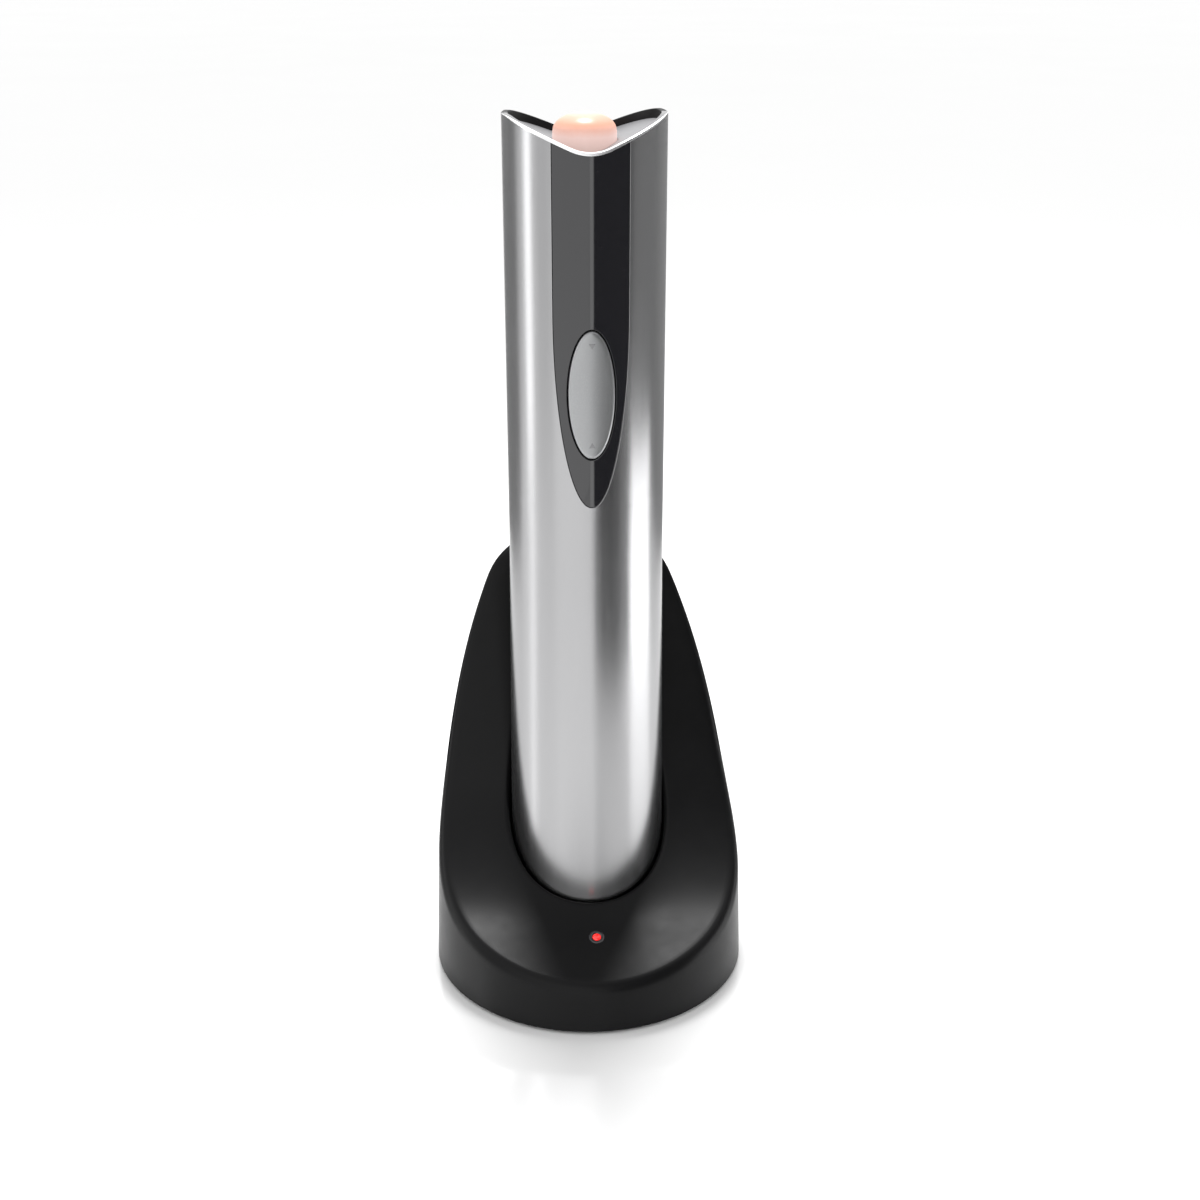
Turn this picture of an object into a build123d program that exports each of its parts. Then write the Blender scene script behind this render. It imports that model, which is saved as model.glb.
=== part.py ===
from build123d import *
import os
from math import atan2, cos, degrees, pi, radians, sin, sqrt, tan

# An electric wine opener that stands in its charging base. Millimetres, +Z up, front towards -Y.
# Every piece is drawn about the opener's own axis and written out shifted back by AXIS_Y, so that
# the origin is the middle of the whole footprint, on the surface that the base stands on.

# ------------------------------------------------------------------ whole object
OVERALL_HEIGHT = 292.0
AXIS_Y = 5.5

# ------------------------------------------------------------------ fits
GAP = 0.1               # between pieces that seat in each other
LOOSE_GAP = 0.3         # between pieces that pass each other
RUNNING_GAP = 0.1       # radial, between a shaft or slide and its bore
SCREW_GAP = 0.1         # radial, around a screw
OVERLAP = 1.0           # how far a cut runs past what it cuts, or a boss into what carries it

# ------------------------------------------------------------------ opener body
OPENER_BOTTOM = 14.0
TUBE_RADIUS = 25.4
FLARE_RADIUS = 26.5
FLARE_TOP = 150.0
FLARE_BOTTOM = 50.0
SHELL_WALL = 2.0
SADDLE_ANGLE = 22.4     # degrees, the slope of the two flanks of the top
SADDLE_RADIUS = 16.0    # of the round valley between them
HORN_FLAT = 1.0
RIB_HEIGHT = 2.0
RIB_GRIP = 0.4          # how far a rib is sunk in the shell that carries it
SHELL_SCREW_LEVELS = (176.0, 264.0)
SHELL_BOSS_RADIUS = 3.8
SHELL_BOSS_DEPTH = 14.0
SHELL_SCREW_RADIUS = 1.2
SHELL_SCREW_LENGTH = 19.0
SHELL_HEAD_RADIUS = 2.1
SHELL_HEAD_HEIGHT = 1.8
SHELL_SLOT_WIDTH = 0.6

# ------------------------------------------------------------------ front insert and button
INSERT_HALF_WIDTH = 11.65
INSERT_BEND = 235.0     # where the straight sides end and the half ellipse begins
INSERT_DROP = 61.5      # the half ellipse's depth
INSERT_GAP = 0.12
INSERT_FLANGE = 2.0     # how far the hidden flange runs past the visible edge
FLANGE_WALL = 1.4
BUTTON_Z = 209.9
BUTTON_HALF_WIDTH = 7.25
BUTTON_HALF_HEIGHT = 20.3
BUTTON_GAP = 0.45
BUTTON_PROUD = 0.8
BUTTON_WALL = 2.4
BUTTON_ROUND = 0.6
BUTTON_BOSS_HALF_WIDTH = 5.0
BUTTON_BOSS_HALF_HEIGHT = 2.2
BUTTON_BOSS_REACH = 1.7  # past the pivot's axis
PIVOT_Y = -19.5
PIVOT_RADIUS = 1.0
EAR_GAP = 0.5           # between the button's window and an ear
EAR_THICKNESS = 1.8
PLUNGER_SPACING = 12.0
PLUNGER_GAP = 0.9       # between a plunger and its switch at rest
PLUNGER_RADIUS = 1.5

# ------------------------------------------------------------------ board and lamp
BOARD_BACK_Y = -14.1
BOARD_THICKNESS = 1.6
BOARD_HALF_WIDTH = 13.5
BOARD_BOTTOM = 190.0
BOARD_TOP = 246.0
BOARD_POSTS = ((8.0, 192.5), (10.9, 243.0))
POST_RADIUS = 1.8
BOARD_SCREW_RADIUS = 0.8
BOARD_SCREW_LENGTH = 3.6
BOARD_HEAD_RADIUS = 1.6
BOARD_HEAD_HEIGHT = 1.0
SWITCH_HALF_WIDTH = 3.0
SWITCH_HEIGHT = 2.8
SWITCH_TIP_RADIUS = 1.7
SWITCH_TIP_HEIGHT = 0.5
CAP_DROP = 2.0
CAP_THICKNESS = 1.6
CAP_SKIRT_LENGTH = 18.0  # from the tips of the top down
CAP_SKIRT_WALL = 1.6
LENS_RADIUS = 9.9
LENS_DOME_HEIGHT = 5.3
LENS_WALL = 1.6
LENS_EDGE_ROUND = 1.5
LENS_FLANGE = 1.1
LENS_FLANGE_HEIGHT = 1.6
LAMP_BOARD_RADIUS = 14.4
LAMP_BOARD_DEPTH = 22.0  # from the tips of the top down
LAMP_BOARD_THICKNESS = 1.6
LAMP_POST_RADIUS = 1.4
LAMP_POST_ANGLES = (90.0, 210.0, 330.0)
LAMP_CHIP_HALF_WIDTH = 2.5
LAMP_CHIP_HEIGHT = 1.4
LAMP_DOME_RADIUS = 2.2
LAMP_DOME_HEIGHT = 1.2

# ------------------------------------------------------------------ battery and motor
CELL_RADIUS = 7.25
CELL_LENGTH = 50.5
CELL_CLEARANCE = 0.3    # between neighbouring cells
CELL_ROUND = 0.6
CELL_BOTTOM = 206.2
CELL_BACK = 3.0         # how far the pack sits behind the axis
CELL_NIPPLE = 0.8
CELL_NIPPLE_RADIUS = 2.7
CONTACT_PLATE = 0.4
CONTACT_PLATE_HALF_WIDTH = 3.0
TRAY_PLATE = 2.0
TRAY_SIDE = 1.8
TRAY_SIDE_HALF_LENGTH = 8.0
TRAY_RADIUS = 20.5
TRAY_RIB_REACH = 1.5    # how far a casing rib reaches over a tray plate
TRAY_FRONT_Y = -11.9
MOTOR_RADIUS = 13.85
MOTOR_WALL = 1.2
MOTOR_EDGE_ROUND = 0.8
MOTOR_RIB_GAP = 1.6     # between the can and the rib around it
MOTOR_CAN_LENGTH = 34.0
MOTOR_CAP_LENGTH = 4.0
MOTOR_SHAFT_RADIUS = 1.15
MOTOR_SHAFT_STUB = 1.0
ARMATURE_RADIUS = 10.2
ARMATURE_BELOW = 8.0    # between the can's bottom and the stack
ARMATURE_ABOVE = 9.0    # between the stack and the can's top
ARMATURE_SLOTS = 3
ARMATURE_SLOT_MOUTH = 2.4
ARMATURE_SLOT_WIDTH = 8.0
ARMATURE_SLOT_ROOT = 4.5
ARMATURE_SLOT_END = 8.6
COMMUTATOR_RADIUS = 3.2
COMMUTATOR_GAP = 2.0
MAGNET_GAP = 0.7        # between the stack and a magnet
MAGNET_BELOW = 5.0
MAGNET_ABOVE = 6.0
MAGNET_SPLIT = 6.0      # between the two magnets
MOTOR_SCREW_SPREAD = 8.5
MOTOR_SCREW_RADIUS = 1.2
MOTOR_HEAD_RADIUS = 2.2
MOTOR_HEAD_HEIGHT = 1.4
MOTOR_SCREW_REACH = 2.2  # how far a screw enters the motor

# ------------------------------------------------------------------ gear train, two equal stages
GEAR_MODULE = 0.6
SUN_TEETH = 12
PLANET_TEETH = 18
RING_TEETH = 48
PLANET_COUNT = 3
PRESSURE_ANGLE = 20.0
TOOTH_TIP = 0.8         # modules above the pitch circle
TOOTH_ROOT = 1.05       # modules below it
TOOTH_THINNING = 0.06   # taken off the thickness of every tooth
GEARBOX_BOTTOM = 132.0
GEARBOX_FLOOR = 3.0
GEARBOX_LENGTH = 23.0
RING_WALL = 3.6         # outside the ring gear's pitch circle
GEARBOX_COVER = 3.0
FLANGE_GAP = 0.6        # between a flange and the tube
FLANGE_HEIGHT = 3.0
FACE_GAP = 0.4          # between the faces of neighbouring wheels
CARRIER_RIM = 3.5       # outside the planets' centres
SECOND_CARRIER_THICKNESS = 2.6
FIRST_CARRIER_THICKNESS = 2.4
PLANET_FACE = 6.0
PLANET_PIN_RADIUS = 1.1
OUTPUT_RADIUS = 4.0
OUTPUT_STUB = 2.0       # how far the output shaft stands out of the gearbox
PINION_HOLE_GAP = 1.0
BUSH_WALL = 1.4
GEARBOX_SCREW_SPREAD = 20.6
GEARBOX_SCREW_RADIUS = 1.0
GEARBOX_HEAD_RADIUS = 1.9
GEARBOX_HEAD_HEIGHT = 1.6
GEARBOX_SCREW_TIP = 2.0  # below the gearbox
SCREW_ANGLES = (30.0, 150.0, 270.0)

# ------------------------------------------------------------------ corkscrew and neck guide
SPIRAL_RADIUS = 5.0
SPIRAL_WIRE = 1.5
SPIRAL_PITCH = 10.0
SPIRAL_TOP = 119.5
SPIRAL_TURNS = 6.9
SPIRAL_TIP_LENGTH = 5.0
SPIRAL_TIP_RADIUS = 0.2
HUB_RADIUS = 6.4
HUB_BOTTOM = 117.0
HUB_ROUND = 1.5
CORK_CHAMBER_RADIUS = 13.0
CORK_SLEEVE_WALL = 2.0
CORK_SLEEVE_BOTTOM = 77.0
CORK_RIBS = 6
CORK_RIB_DEPTH = 1.5
CORK_RIB_WIDTH = 1.6
CORK_RIB_STOP = 6.0     # below the gearbox
COLLAR_HEIGHT = 5.0
COLLAR_GUIDE_GAP = 0.5
GUIDE_BORE_RADIUS = 15.5
GUIDE_WALL = 1.2
GUIDE_LEAD_IN = 1.5
GUIDE_LEAD_SPREAD = 0.6
GUIDE_BOTTOM = 15.0
GUIDE_SHOULDER = 41.0
GUIDE_SHOULDER_THICKNESS = 4.0
GUIDE_SHOULDER_HOLE = 11.5
GUIDE_FLANGE = 1.3
GUIDE_SLIDE_GAP = 0.2   # radial, between the guide and its sleeve
SLEEVE_WALL = 2.2
SLEEVE_TOP = 90.0
SPRING_SEAT = 2.0
SPRING_WIRE = 0.7
SPRING_INSET = 1.5      # from the sleeve's bore to the middle of the spring's wire
SPRING_TURNS = 6
COLLAR_SCREW_RADIUS = 0.9
COLLAR_HEAD_RADIUS = 1.9
COLLAR_HEAD_HEIGHT = 1.5
COLLAR_HEAD_SINK = 0.5
COLLAR_SCREW_DEPTH = 11.0
COLLAR_COLUMN_RADIUS = 2.2
COLLAR_COLUMN_SPARE = 2.0
COLLAR_COLUMN_GAP = 0.2   # between the columns and the tube
SLEEVE_BEAD_GAP = 0.8   # between the bead and the tube
SLEEVE_RIB_Z = 60.0
WIRE_X = 9.5            # the two charging wires run straight up inside the back of the tube
WIRE_Y = 19.8
WIRE_RADIUS = 0.6
WIRE_NOTCH = 1.4
WIRE_BEND = 2.5
PAD_RADIUS = 2.6
PAD_THICKNESS = 1.0
MOTOR_LEAD_X = 5.0
BATTERY_LEAD_X = 5.0
BATTERY_LEAD_RISE = 2.4
LAMP_LEAD_X = 2.0
LAMP_LEAD_DROP = 3.0
EDGE_LEAD_Y = -8.5
EDGE_LEAD_BEND = 1.6

# ------------------------------------------------------------------ charging base
BASE_HALF_WIDTH = 54.0
BASE_REAR_DEPTH = 58.0
BASE_CENTRE_Y = -7.5
BASE_SKIRT_BOTTOM = 0.8
BASE_DRAFT = 2.0
BASE_WALL = 2.5
BASE_EDGE_ROUND = 3.0
FRONT_SLOPE = 19.3      # degrees, the shelf in front of the tube
FRONT_SLOPE_AT_AXIS = 39.3
STEEP_SLOPE = 69.5      # degrees, the back rest behind the tube
STEEP_SLOPE_AT_AXIS = 44.7
CREST_HEIGHT = 146.0
VALLEY_ROUND = 82.0
CREST_ROUND = 25.0
BASE_HEADROOM = 4.0     # of the column that the base is cut from, over the crest
SOCKET_GAP = 0.7        # radial, around the foot of the tube
SOCKET_LINER = 2.0
SOCKET_FLOOR = 2.0
COVER_BOTTOM = 2.4
COVER_THICKNESS = 2.0
COVER_GAP = 0.3
FOOT_RADIUS = 6.0
FOOT_CHAMFER = 0.5
FOOT_POINTS = ((36.0, -24.0), (28.0, 30.0))
BASE_BOSS_POINTS = ((33.0, -36.0), (40.0, 14.0))
BASE_BOSS_RADIUS = 3.6
BASE_BOSS_TOP = 20.0
BASE_WEB = 2.0
BASE_SCREW_RADIUS = 1.4
BASE_HEAD_RADIUS = 3.0
BASE_HEAD_HEIGHT = 1.4
BASE_SCREW_LENGTH = 12.0
LED_Y = -41.0
LED_RADIUS = 1.5
LED_LENGTH = 6.0
LED_LEAD_RADIUS = 0.48
LED_LEAD_RUN = 3.0
LED_LEAD_BEND = 1.5
BEZEL_RADIUS = 2.75
BEZEL_DEPTH = 3.2
BEZEL_PROUD = 0.25
CHARGE_BOARD_BOTTOM = 5.0
CHARGE_BOARD_THICKNESS = 1.6
CHARGE_BOARD_HALF_WIDTH = 15.0
CHARGE_BOARD_FRONT = 14.0
CHARGE_BOARD_REAR = 44.0
CHARGE_POST_INSET = 3.0
CHARGE_POST_RADIUS = 2.0
JACK_WIDTH = 9.0
JACK_HEIGHT = 10.0
JACK_LENGTH = 14.0
JACK_NOSE_RADIUS = 4.0
JACK_BORE_RADIUS = 2.75
JACK_PIN_RADIUS = 0.95
JACK_DEPTH = 9.5
CONTACT_RADIUS = 1.5
CONTACT_FLANGE_RADIUS = 2.6
CONTACT_FLANGE = 0.6
CONTACT_STEM_RADIUS = 1.1
CONTACT_STEM = 3.0
CONTACT_SPRING_WIRE = 0.25
CONTACT_SPRING_TURNS = 4

# ------------------------------------------------------------------ worked out from the above
BORE = TUBE_RADIUS - SHELL_WALL
FLANGE_RADIUS = BORE - FLANGE_GAP
COLLAR_SCREW_SPREAD = BORE - COLLAR_COLUMN_GAP - COLLAR_COLUMN_RADIUS
SLEEVE_BEAD_RADIUS = BORE - SLEEVE_BEAD_GAP
SADDLE_DEPTH = (SADDLE_RADIUS * (1 - cos(radians(SADDLE_ANGLE)))
                + (TUBE_RADIUS - HORN_FLAT - SADDLE_RADIUS * sin(radians(SADDLE_ANGLE)))
                * tan(radians(SADDLE_ANGLE)))
SADDLE_VALLEY = OVERALL_HEIGHT - SADDLE_DEPTH
CAP_SKIRT_BOTTOM = OVERALL_HEIGHT - CAP_SKIRT_LENGTH
LENS_SKIRT_TOP = OVERALL_HEIGHT - LENS_DOME_HEIGHT
LAMP_BOARD_BOTTOM = OVERALL_HEIGHT - LAMP_BOARD_DEPTH
SHELL_BOTTOM = OPENER_BOTTOM + COLLAR_HEIGHT
GUIDE_RADIUS = GUIDE_BORE_RADIUS + GUIDE_WALL
GUIDE_FLANGE_RADIUS = GUIDE_RADIUS + GUIDE_FLANGE
SLEEVE_NARROW_BORE = GUIDE_RADIUS + GUIDE_SLIDE_GAP
SLEEVE_WIDE_BORE = GUIDE_FLANGE_RADIUS + LOOSE_GAP
SLEEVE_RADIUS = SLEEVE_WIDE_BORE + SLEEVE_WALL
SPRING_RADIUS = SLEEVE_WIDE_BORE - SPRING_INSET
COLLAR_HOLE_RADIUS = GUIDE_RADIUS + COLLAR_GUIDE_GAP
CORK_SLEEVE_RADIUS = CORK_CHAMBER_RADIUS + CORK_SLEEVE_WALL
CORK_RIB_RADIUS = CORK_CHAMBER_RADIUS - CORK_RIB_DEPTH
GUIDE_TOP = GUIDE_SHOULDER + GUIDE_SHOULDER_THICKNESS
GEARBOX_TOP = GEARBOX_BOTTOM + GEARBOX_LENGTH
MOTOR_BOTTOM = GEARBOX_TOP + GEARBOX_COVER
MOTOR_CAN_TOP = MOTOR_BOTTOM + MOTOR_CAN_LENGTH
MOTOR_TOP = MOTOR_CAN_TOP + MOTOR_CAP_LENGTH
SECOND_CARRIER_Z = GEARBOX_BOTTOM + GEARBOX_FLOOR + FACE_GAP
SECOND_PLANET_Z = SECOND_CARRIER_Z + SECOND_CARRIER_THICKNESS + FACE_GAP / 2
FIRST_CARRIER_Z = SECOND_PLANET_Z + PLANET_FACE + 1.5 * FACE_GAP
FIRST_PLANET_Z = FIRST_CARRIER_Z + FIRST_CARRIER_THICKNESS + FACE_GAP / 2
SUN_RADIUS = GEAR_MODULE * SUN_TEETH / 2
PLANET_RADIUS = GEAR_MODULE * PLANET_TEETH / 2
RING_RADIUS = GEAR_MODULE * RING_TEETH / 2
GEAR_CENTRES = SUN_RADIUS + PLANET_RADIUS
CARRIER_RADIUS = GEAR_CENTRES + CARRIER_RIM
GEARBOX_RADIUS = RING_RADIUS + RING_WALL
MAGNET_INNER = ARMATURE_RADIUS + MAGNET_GAP
CELL_SPACING = 2 * CELL_RADIUS + CELL_CLEARANCE
CELL_TOP = CELL_BOTTOM + CELL_LENGTH
TRAY_BOTTOM = CELL_BOTTOM - CONTACT_PLATE - TRAY_PLATE
TRAY_TOP = CELL_TOP + CONTACT_PLATE + TRAY_PLATE
BOARD_FRONT_Y = BOARD_BACK_Y - BOARD_THICKNESS
SWITCH_TIP_Y = BOARD_FRONT_Y - SWITCH_HEIGHT - SWITCH_TIP_HEIGHT
PLUNGER_TIP_Y = SWITCH_TIP_Y - PLUNGER_GAP
EAR_INNER = BUTTON_HALF_WIDTH + BUTTON_GAP + EAR_GAP
EAR_OUTER = EAR_INNER + EAR_THICKNESS
PIVOT_HALF_LENGTH = EAR_OUTER - GAP
FLANGE_OUTER = BORE - GAP
FLANGE_INNER = FLANGE_OUTER - FLANGE_WALL
SOCKET_RADIUS = FLARE_RADIUS + SOCKET_GAP
SOCKET_FLOOR_TOP = OPENER_BOTTOM - GAP
SOCKET_UNDERSIDE = SOCKET_FLOOR_TOP - SOCKET_FLOOR
COVER_TOP = COVER_BOTTOM + COVER_THICKNESS
CHARGE_BOARD_TOP = CHARGE_BOARD_BOTTOM + CHARGE_BOARD_THICKNESS
CONTACT_FLANGE_TOP = SOCKET_UNDERSIDE - GAP
CONTACT_FLANGE_BOTTOM = CONTACT_FLANGE_TOP - CONTACT_FLANGE
FAR = 200.0             # longer than the object is wide


# ------------------------------------------------------------------ small tools
def bar(radius, low, high, x=0.0, y=0.0):
    """A round bar standing between two heights."""
    return Pos(x, y, low) * Cylinder(radius, high - low, align=(Align.CENTER, Align.CENTER, Align.MIN))


def ring(outer, inner, low, high, x=0.0, y=0.0):
    """A bar with a hole through it."""
    return bar(outer, low, high, x, y) - bar(inner, low - OVERLAP, high + OVERLAP, x, y)


def block(x_range, y_range, z_range):
    """A box given by its limits."""
    low = Vector(x_range[0], y_range[0], z_range[0])
    size = Vector(x_range[1], y_range[1], z_range[1]) - low
    return Pos(low) * Box(size.X, size.Y, size.Z, align=(Align.MIN, Align.MIN, Align.MIN))


def bar_along_y(radius, start, end, x, z):
    """A round bar lying front to back, from y = start to y = end."""
    middle = (start + end) / 2
    return Pos(x, middle, z) * Rot(90, 0, 0) * Cylinder(radius, abs(end - start))


def bar_along_x(radius, start, end, y, z):
    """A round bar lying left to right."""
    return Pos((start + end) / 2, y, z) * Rot(0, 90, 0) * Cylinder(radius, abs(end - start))


def front_half(solid):
    """What lies in front of the opener's axis."""
    return solid & block((-FAR, FAR), (-FAR, 0), (-FAR, 2 * FAR))


def rear_half(solid):
    """What lies behind the opener's axis."""
    return solid & block((-FAR, FAR), (0, FAR), (-FAR, 2 * FAR))


def turned(profile):
    """A turned solid from (radius, height) points."""
    outline = Plane.XZ * Polyline(*profile, close=True)
    return revolve(make_face(outline), axis=Axis.Z)


def on_circle(radius, angle):
    """A point on a circle about the axis."""
    return radius * cos(radians(angle)), radius * sin(radians(angle))


def wire(points, radius, bend):
    """A round lead that follows straight runs with round corners."""
    path = FilletPolyline(*points, radius=bend)
    start = Plane(path @ 0, z_dir=path % 0)
    return sweep(start * Circle(radius), path=path)


def coil(mean_radius, wire_radius, low, high, turns):
    """A coil spring that stands between two heights."""
    run = high - low - 2 * wire_radius
    path = Pos(0, 0, low + wire_radius) * Helix(pitch=run / turns, height=run, radius=mean_radius)
    start = Plane(path @ 0, z_dir=path % 0)
    return sweep(start * Circle(wire_radius), path=path, is_frenet=True)


# ------------------------------------------------------------------ the saddle-shaped top
def above_saddle(drop):
    """Everything over the saddle-shaped top after it is lowered by drop."""
    valley = SADDLE_VALLEY - drop
    slope = radians(SADDLE_ANGLE)
    turn_x = SADDLE_RADIUS * sin(slope)
    turn_z = valley + SADDLE_RADIUS * (1 - cos(slope))
    reach = 2 * TUBE_RADIUS
    reach_z = turn_z + (reach - turn_x) * tan(slope)
    ceiling = OVERALL_HEIGHT + reach
    valley_arc = ThreePointArc((-turn_x, turn_z), (0, valley), (turn_x, turn_z))
    sides = Polyline((turn_x, turn_z), (reach, reach_z), (reach, ceiling), (-reach, ceiling),
                     (-reach, reach_z), (-turn_x, turn_z))
    return extrude(make_face(Plane.XZ * (valley_arc + sides)), amount=reach, both=True)


# ------------------------------------------------------------------ casing of the opener
def tube_wall():
    """The whole tube before it is split: straight bore, slightly flared foot."""
    profile = [(BORE, SHELL_BOTTOM), (FLARE_RADIUS, SHELL_BOTTOM), (FLARE_RADIUS, FLARE_BOTTOM),
               (TUBE_RADIUS, FLARE_TOP), (TUBE_RADIUS, OVERALL_HEIGHT), (BORE, OVERALL_HEIGHT)]
    return turned(profile) - above_saddle(0)


def inner_rib(low, inner_radius):
    """A ring inside the tube that holds what stands on it, notched for the charging wires."""
    rib = ring(BORE + RIB_GRIP, inner_radius, low, low + RIB_HEIGHT)
    return rib - wire_notches(low - OVERLAP, low + RIB_HEIGHT + OVERLAP)


def wire_notches(low, high):
    """Two upright channels for the charging wires."""
    return bar(WIRE_NOTCH, low, high, WIRE_X, WIRE_Y) + bar(WIRE_NOTCH, low, high, -WIRE_X, WIRE_Y)


def casing_ribs():
    """The ribs that both halves of the tube share."""
    sleeve_rib = inner_rib(SLEEVE_RIB_Z, SLEEVE_RADIUS + LOOSE_GAP)
    gearbox_rib = inner_rib(GEARBOX_BOTTOM - FLANGE_HEIGHT - RIB_HEIGHT, GEARBOX_RADIUS)
    motor_rib = inner_rib(MOTOR_BOTTOM + GAP, MOTOR_RADIUS + MOTOR_RIB_GAP)
    return sleeve_rib + gearbox_rib + motor_rib


def shell_boss_x():
    """How far from the middle the screws of the casing stand."""
    return BORE - SHELL_BOSS_RADIUS - LOOSE_GAP


def boss_limit():
    """The casing's bosses end inside its wall."""
    return bar(BORE + RIB_GRIP, SHELL_BOTTOM, OVERALL_HEIGHT)


def insert_outline(margin):
    """The outline of the front insert, grown by margin, as a bar that runs towards the front."""
    half = INSERT_HALF_WIDTH + margin
    top = OVERALL_HEIGHT + TUBE_RADIUS
    straight = Pos(0, (INSERT_BEND + top) / 2) * Rectangle(2 * half, top - INSERT_BEND)
    tongue = Pos(0, INSERT_BEND) * Ellipse(half, INSERT_DROP + margin)
    return extrude(Plane.XZ * (straight + tongue), amount=2 * TUBE_RADIUS)


def front_shell():
    """Brushed front half of the tube, with its window for the insert."""
    shell = front_half(tube_wall() + casing_ribs())
    shell = shell - insert_outline(INSERT_GAP)
    for side in (-1, 1):
        for level in SHELL_SCREW_LEVELS:
            x = side * shell_boss_x()
            shell += bar_along_y(SHELL_BOSS_RADIUS, -SHELL_BOSS_DEPTH, 0, x, level) & boss_limit()
            tip = -SHELL_SCREW_LENGTH / 2 - OVERLAP
            shell -= bar_along_y(SHELL_SCREW_RADIUS + SCREW_GAP, tip, OVERLAP, x, level)
    return shell


def rear_shell():
    """Moulded rear half of the tube, with the wells for the casing screws."""
    shell = rear_half(tube_wall() + casing_ribs())
    shell += rear_half(inner_rib(TRAY_BOTTOM - RIB_HEIGHT - GAP, TRAY_RADIUS - TRAY_RIB_REACH))
    shell += rear_half(inner_rib(TRAY_TOP + GAP, TRAY_RADIUS - TRAY_RIB_REACH))
    seat = SHELL_SCREW_LENGTH / 2
    for side in (-1, 1):
        for level in SHELL_SCREW_LEVELS:
            x = side * shell_boss_x()
            shell += bar_along_y(SHELL_BOSS_RADIUS, 0, SHELL_BOSS_DEPTH, x, level) & boss_limit()
            shell -= bar_along_y(SHELL_SCREW_RADIUS + SCREW_GAP, -OVERLAP, seat + OVERLAP, x, level)
            shell -= bar_along_y(SHELL_HEAD_RADIUS + SCREW_GAP, seat, FLARE_RADIUS, x, level)
    return shell


def housing_screws():
    """The four screws that close the casing from behind."""
    screws = []
    seat = SHELL_SCREW_LENGTH / 2
    for side in (-1, 1):
        for level in SHELL_SCREW_LEVELS:
            x = side * shell_boss_x()
            shank = bar_along_y(SHELL_SCREW_RADIUS, -seat, seat, x, level)
            head = bar_along_y(SHELL_HEAD_RADIUS, seat, seat + SHELL_HEAD_HEIGHT, x, level)
            slot = block((x - SHELL_HEAD_RADIUS, x + SHELL_HEAD_RADIUS),
                         (seat + SHELL_HEAD_HEIGHT / 2, seat + 2 * SHELL_HEAD_HEIGHT),
                         (level - SHELL_SLOT_WIDTH / 2, level + SHELL_SLOT_WIDTH / 2))
            screws.append(shank + head - slot)
    return Compound(screws)


def front_insert():
    """Gloss insert in the front of the tube: it carries the button's ears and the board's posts."""
    skin = bar(TUBE_RADIUS, 0, OVERALL_HEIGHT) - bar(FLANGE_INNER, -OVERLAP, OVERALL_HEIGHT + OVERLAP)
    plate = skin & insert_outline(0)
    upper_relief = bar(BORE, CAP_SKIRT_BOTTOM - INSERT_GAP, OVERALL_HEIGHT + OVERLAP)
    flange = ring(FLANGE_OUTER, FLANGE_INNER, 0, CAP_SKIRT_BOTTOM - LOOSE_GAP)
    insert = (plate - upper_relief - above_saddle(0)) + (flange & insert_outline(INSERT_FLANGE))
    for side in (-1, 1):
        ends = sorted((side * EAR_INNER, side * EAR_OUTER))
        ear = block(ends, (-FLANGE_OUTER, PIVOT_Y + BUTTON_BOSS_REACH),
                    (BUTTON_Z - BUTTON_BOSS_HALF_HEIGHT, BUTTON_Z + BUTTON_BOSS_HALF_HEIGHT))
        insert += ear & bar(FLANGE_OUTER, 0, OVERALL_HEIGHT)
        for x, z in BOARD_POSTS:
            post = bar_along_y(POST_RADIUS, BOARD_FRONT_Y, -FLANGE_OUTER, side * x, z)
            insert += post & bar(FLANGE_OUTER - GAP, 0, OVERALL_HEIGHT)
    window = Pos(0, BUTTON_Z) * Ellipse(BUTTON_HALF_WIDTH + BUTTON_GAP, BUTTON_HALF_HEIGHT + BUTTON_GAP)
    insert -= extrude(Plane.XZ * window, amount=2 * TUBE_RADIUS)
    ear_hole = bar_along_x(PIVOT_RADIUS + GAP / 2, -EAR_OUTER - GAP, EAR_OUTER + GAP, PIVOT_Y, BUTTON_Z)
    insert -= ear_hole
    for side in (-1, 1):
        for x, z in BOARD_POSTS:
            tip = BOARD_FRONT_Y - BOARD_SCREW_LENGTH + BOARD_THICKNESS - 2 * GAP
            insert -= bar_along_y(BOARD_SCREW_RADIUS + SCREW_GAP, BOARD_FRONT_Y + OVERLAP, tip, side * x, z)
    return insert


# ------------------------------------------------------------------ rocker button
def rocker_button():
    """Oval rocker that stands slightly proud, on a boss with a plunger above and below it."""
    oval = Pos(0, BUTTON_Z) * Ellipse(BUTTON_HALF_WIDTH, BUTTON_HALF_HEIGHT)
    face = TUBE_RADIUS + BUTTON_PROUD
    curved = ring(face, face - BUTTON_WALL, BUTTON_Z - FAR / 4, BUTTON_Z + FAR / 4)
    button = extrude(Plane.XZ * oval, amount=2 * TUBE_RADIUS) & curved
    outer_edges = button.edges().sort_by(lambda e: e.center().Y)[0:2]
    button = fillet(outer_edges, BUTTON_ROUND)
    root = -(face - BUTTON_WALL / 2)
    boss = block((-BUTTON_BOSS_HALF_WIDTH, BUTTON_BOSS_HALF_WIDTH),
                 (root + OVERLAP, PIVOT_Y + BUTTON_BOSS_REACH),
                 (BUTTON_Z - BUTTON_BOSS_HALF_HEIGHT, BUTTON_Z + BUTTON_BOSS_HALF_HEIGHT))
    button += boss
    for step in (-PLUNGER_SPACING, PLUNGER_SPACING):
        button += bar_along_y(PLUNGER_RADIUS, root, PLUNGER_TIP_Y, 0, BUTTON_Z + step)
    reach = BUTTON_BOSS_HALF_WIDTH + OVERLAP
    return button - bar_along_x(PIVOT_RADIUS + RUNNING_GAP, -reach, reach, PIVOT_Y, BUTTON_Z)


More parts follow.
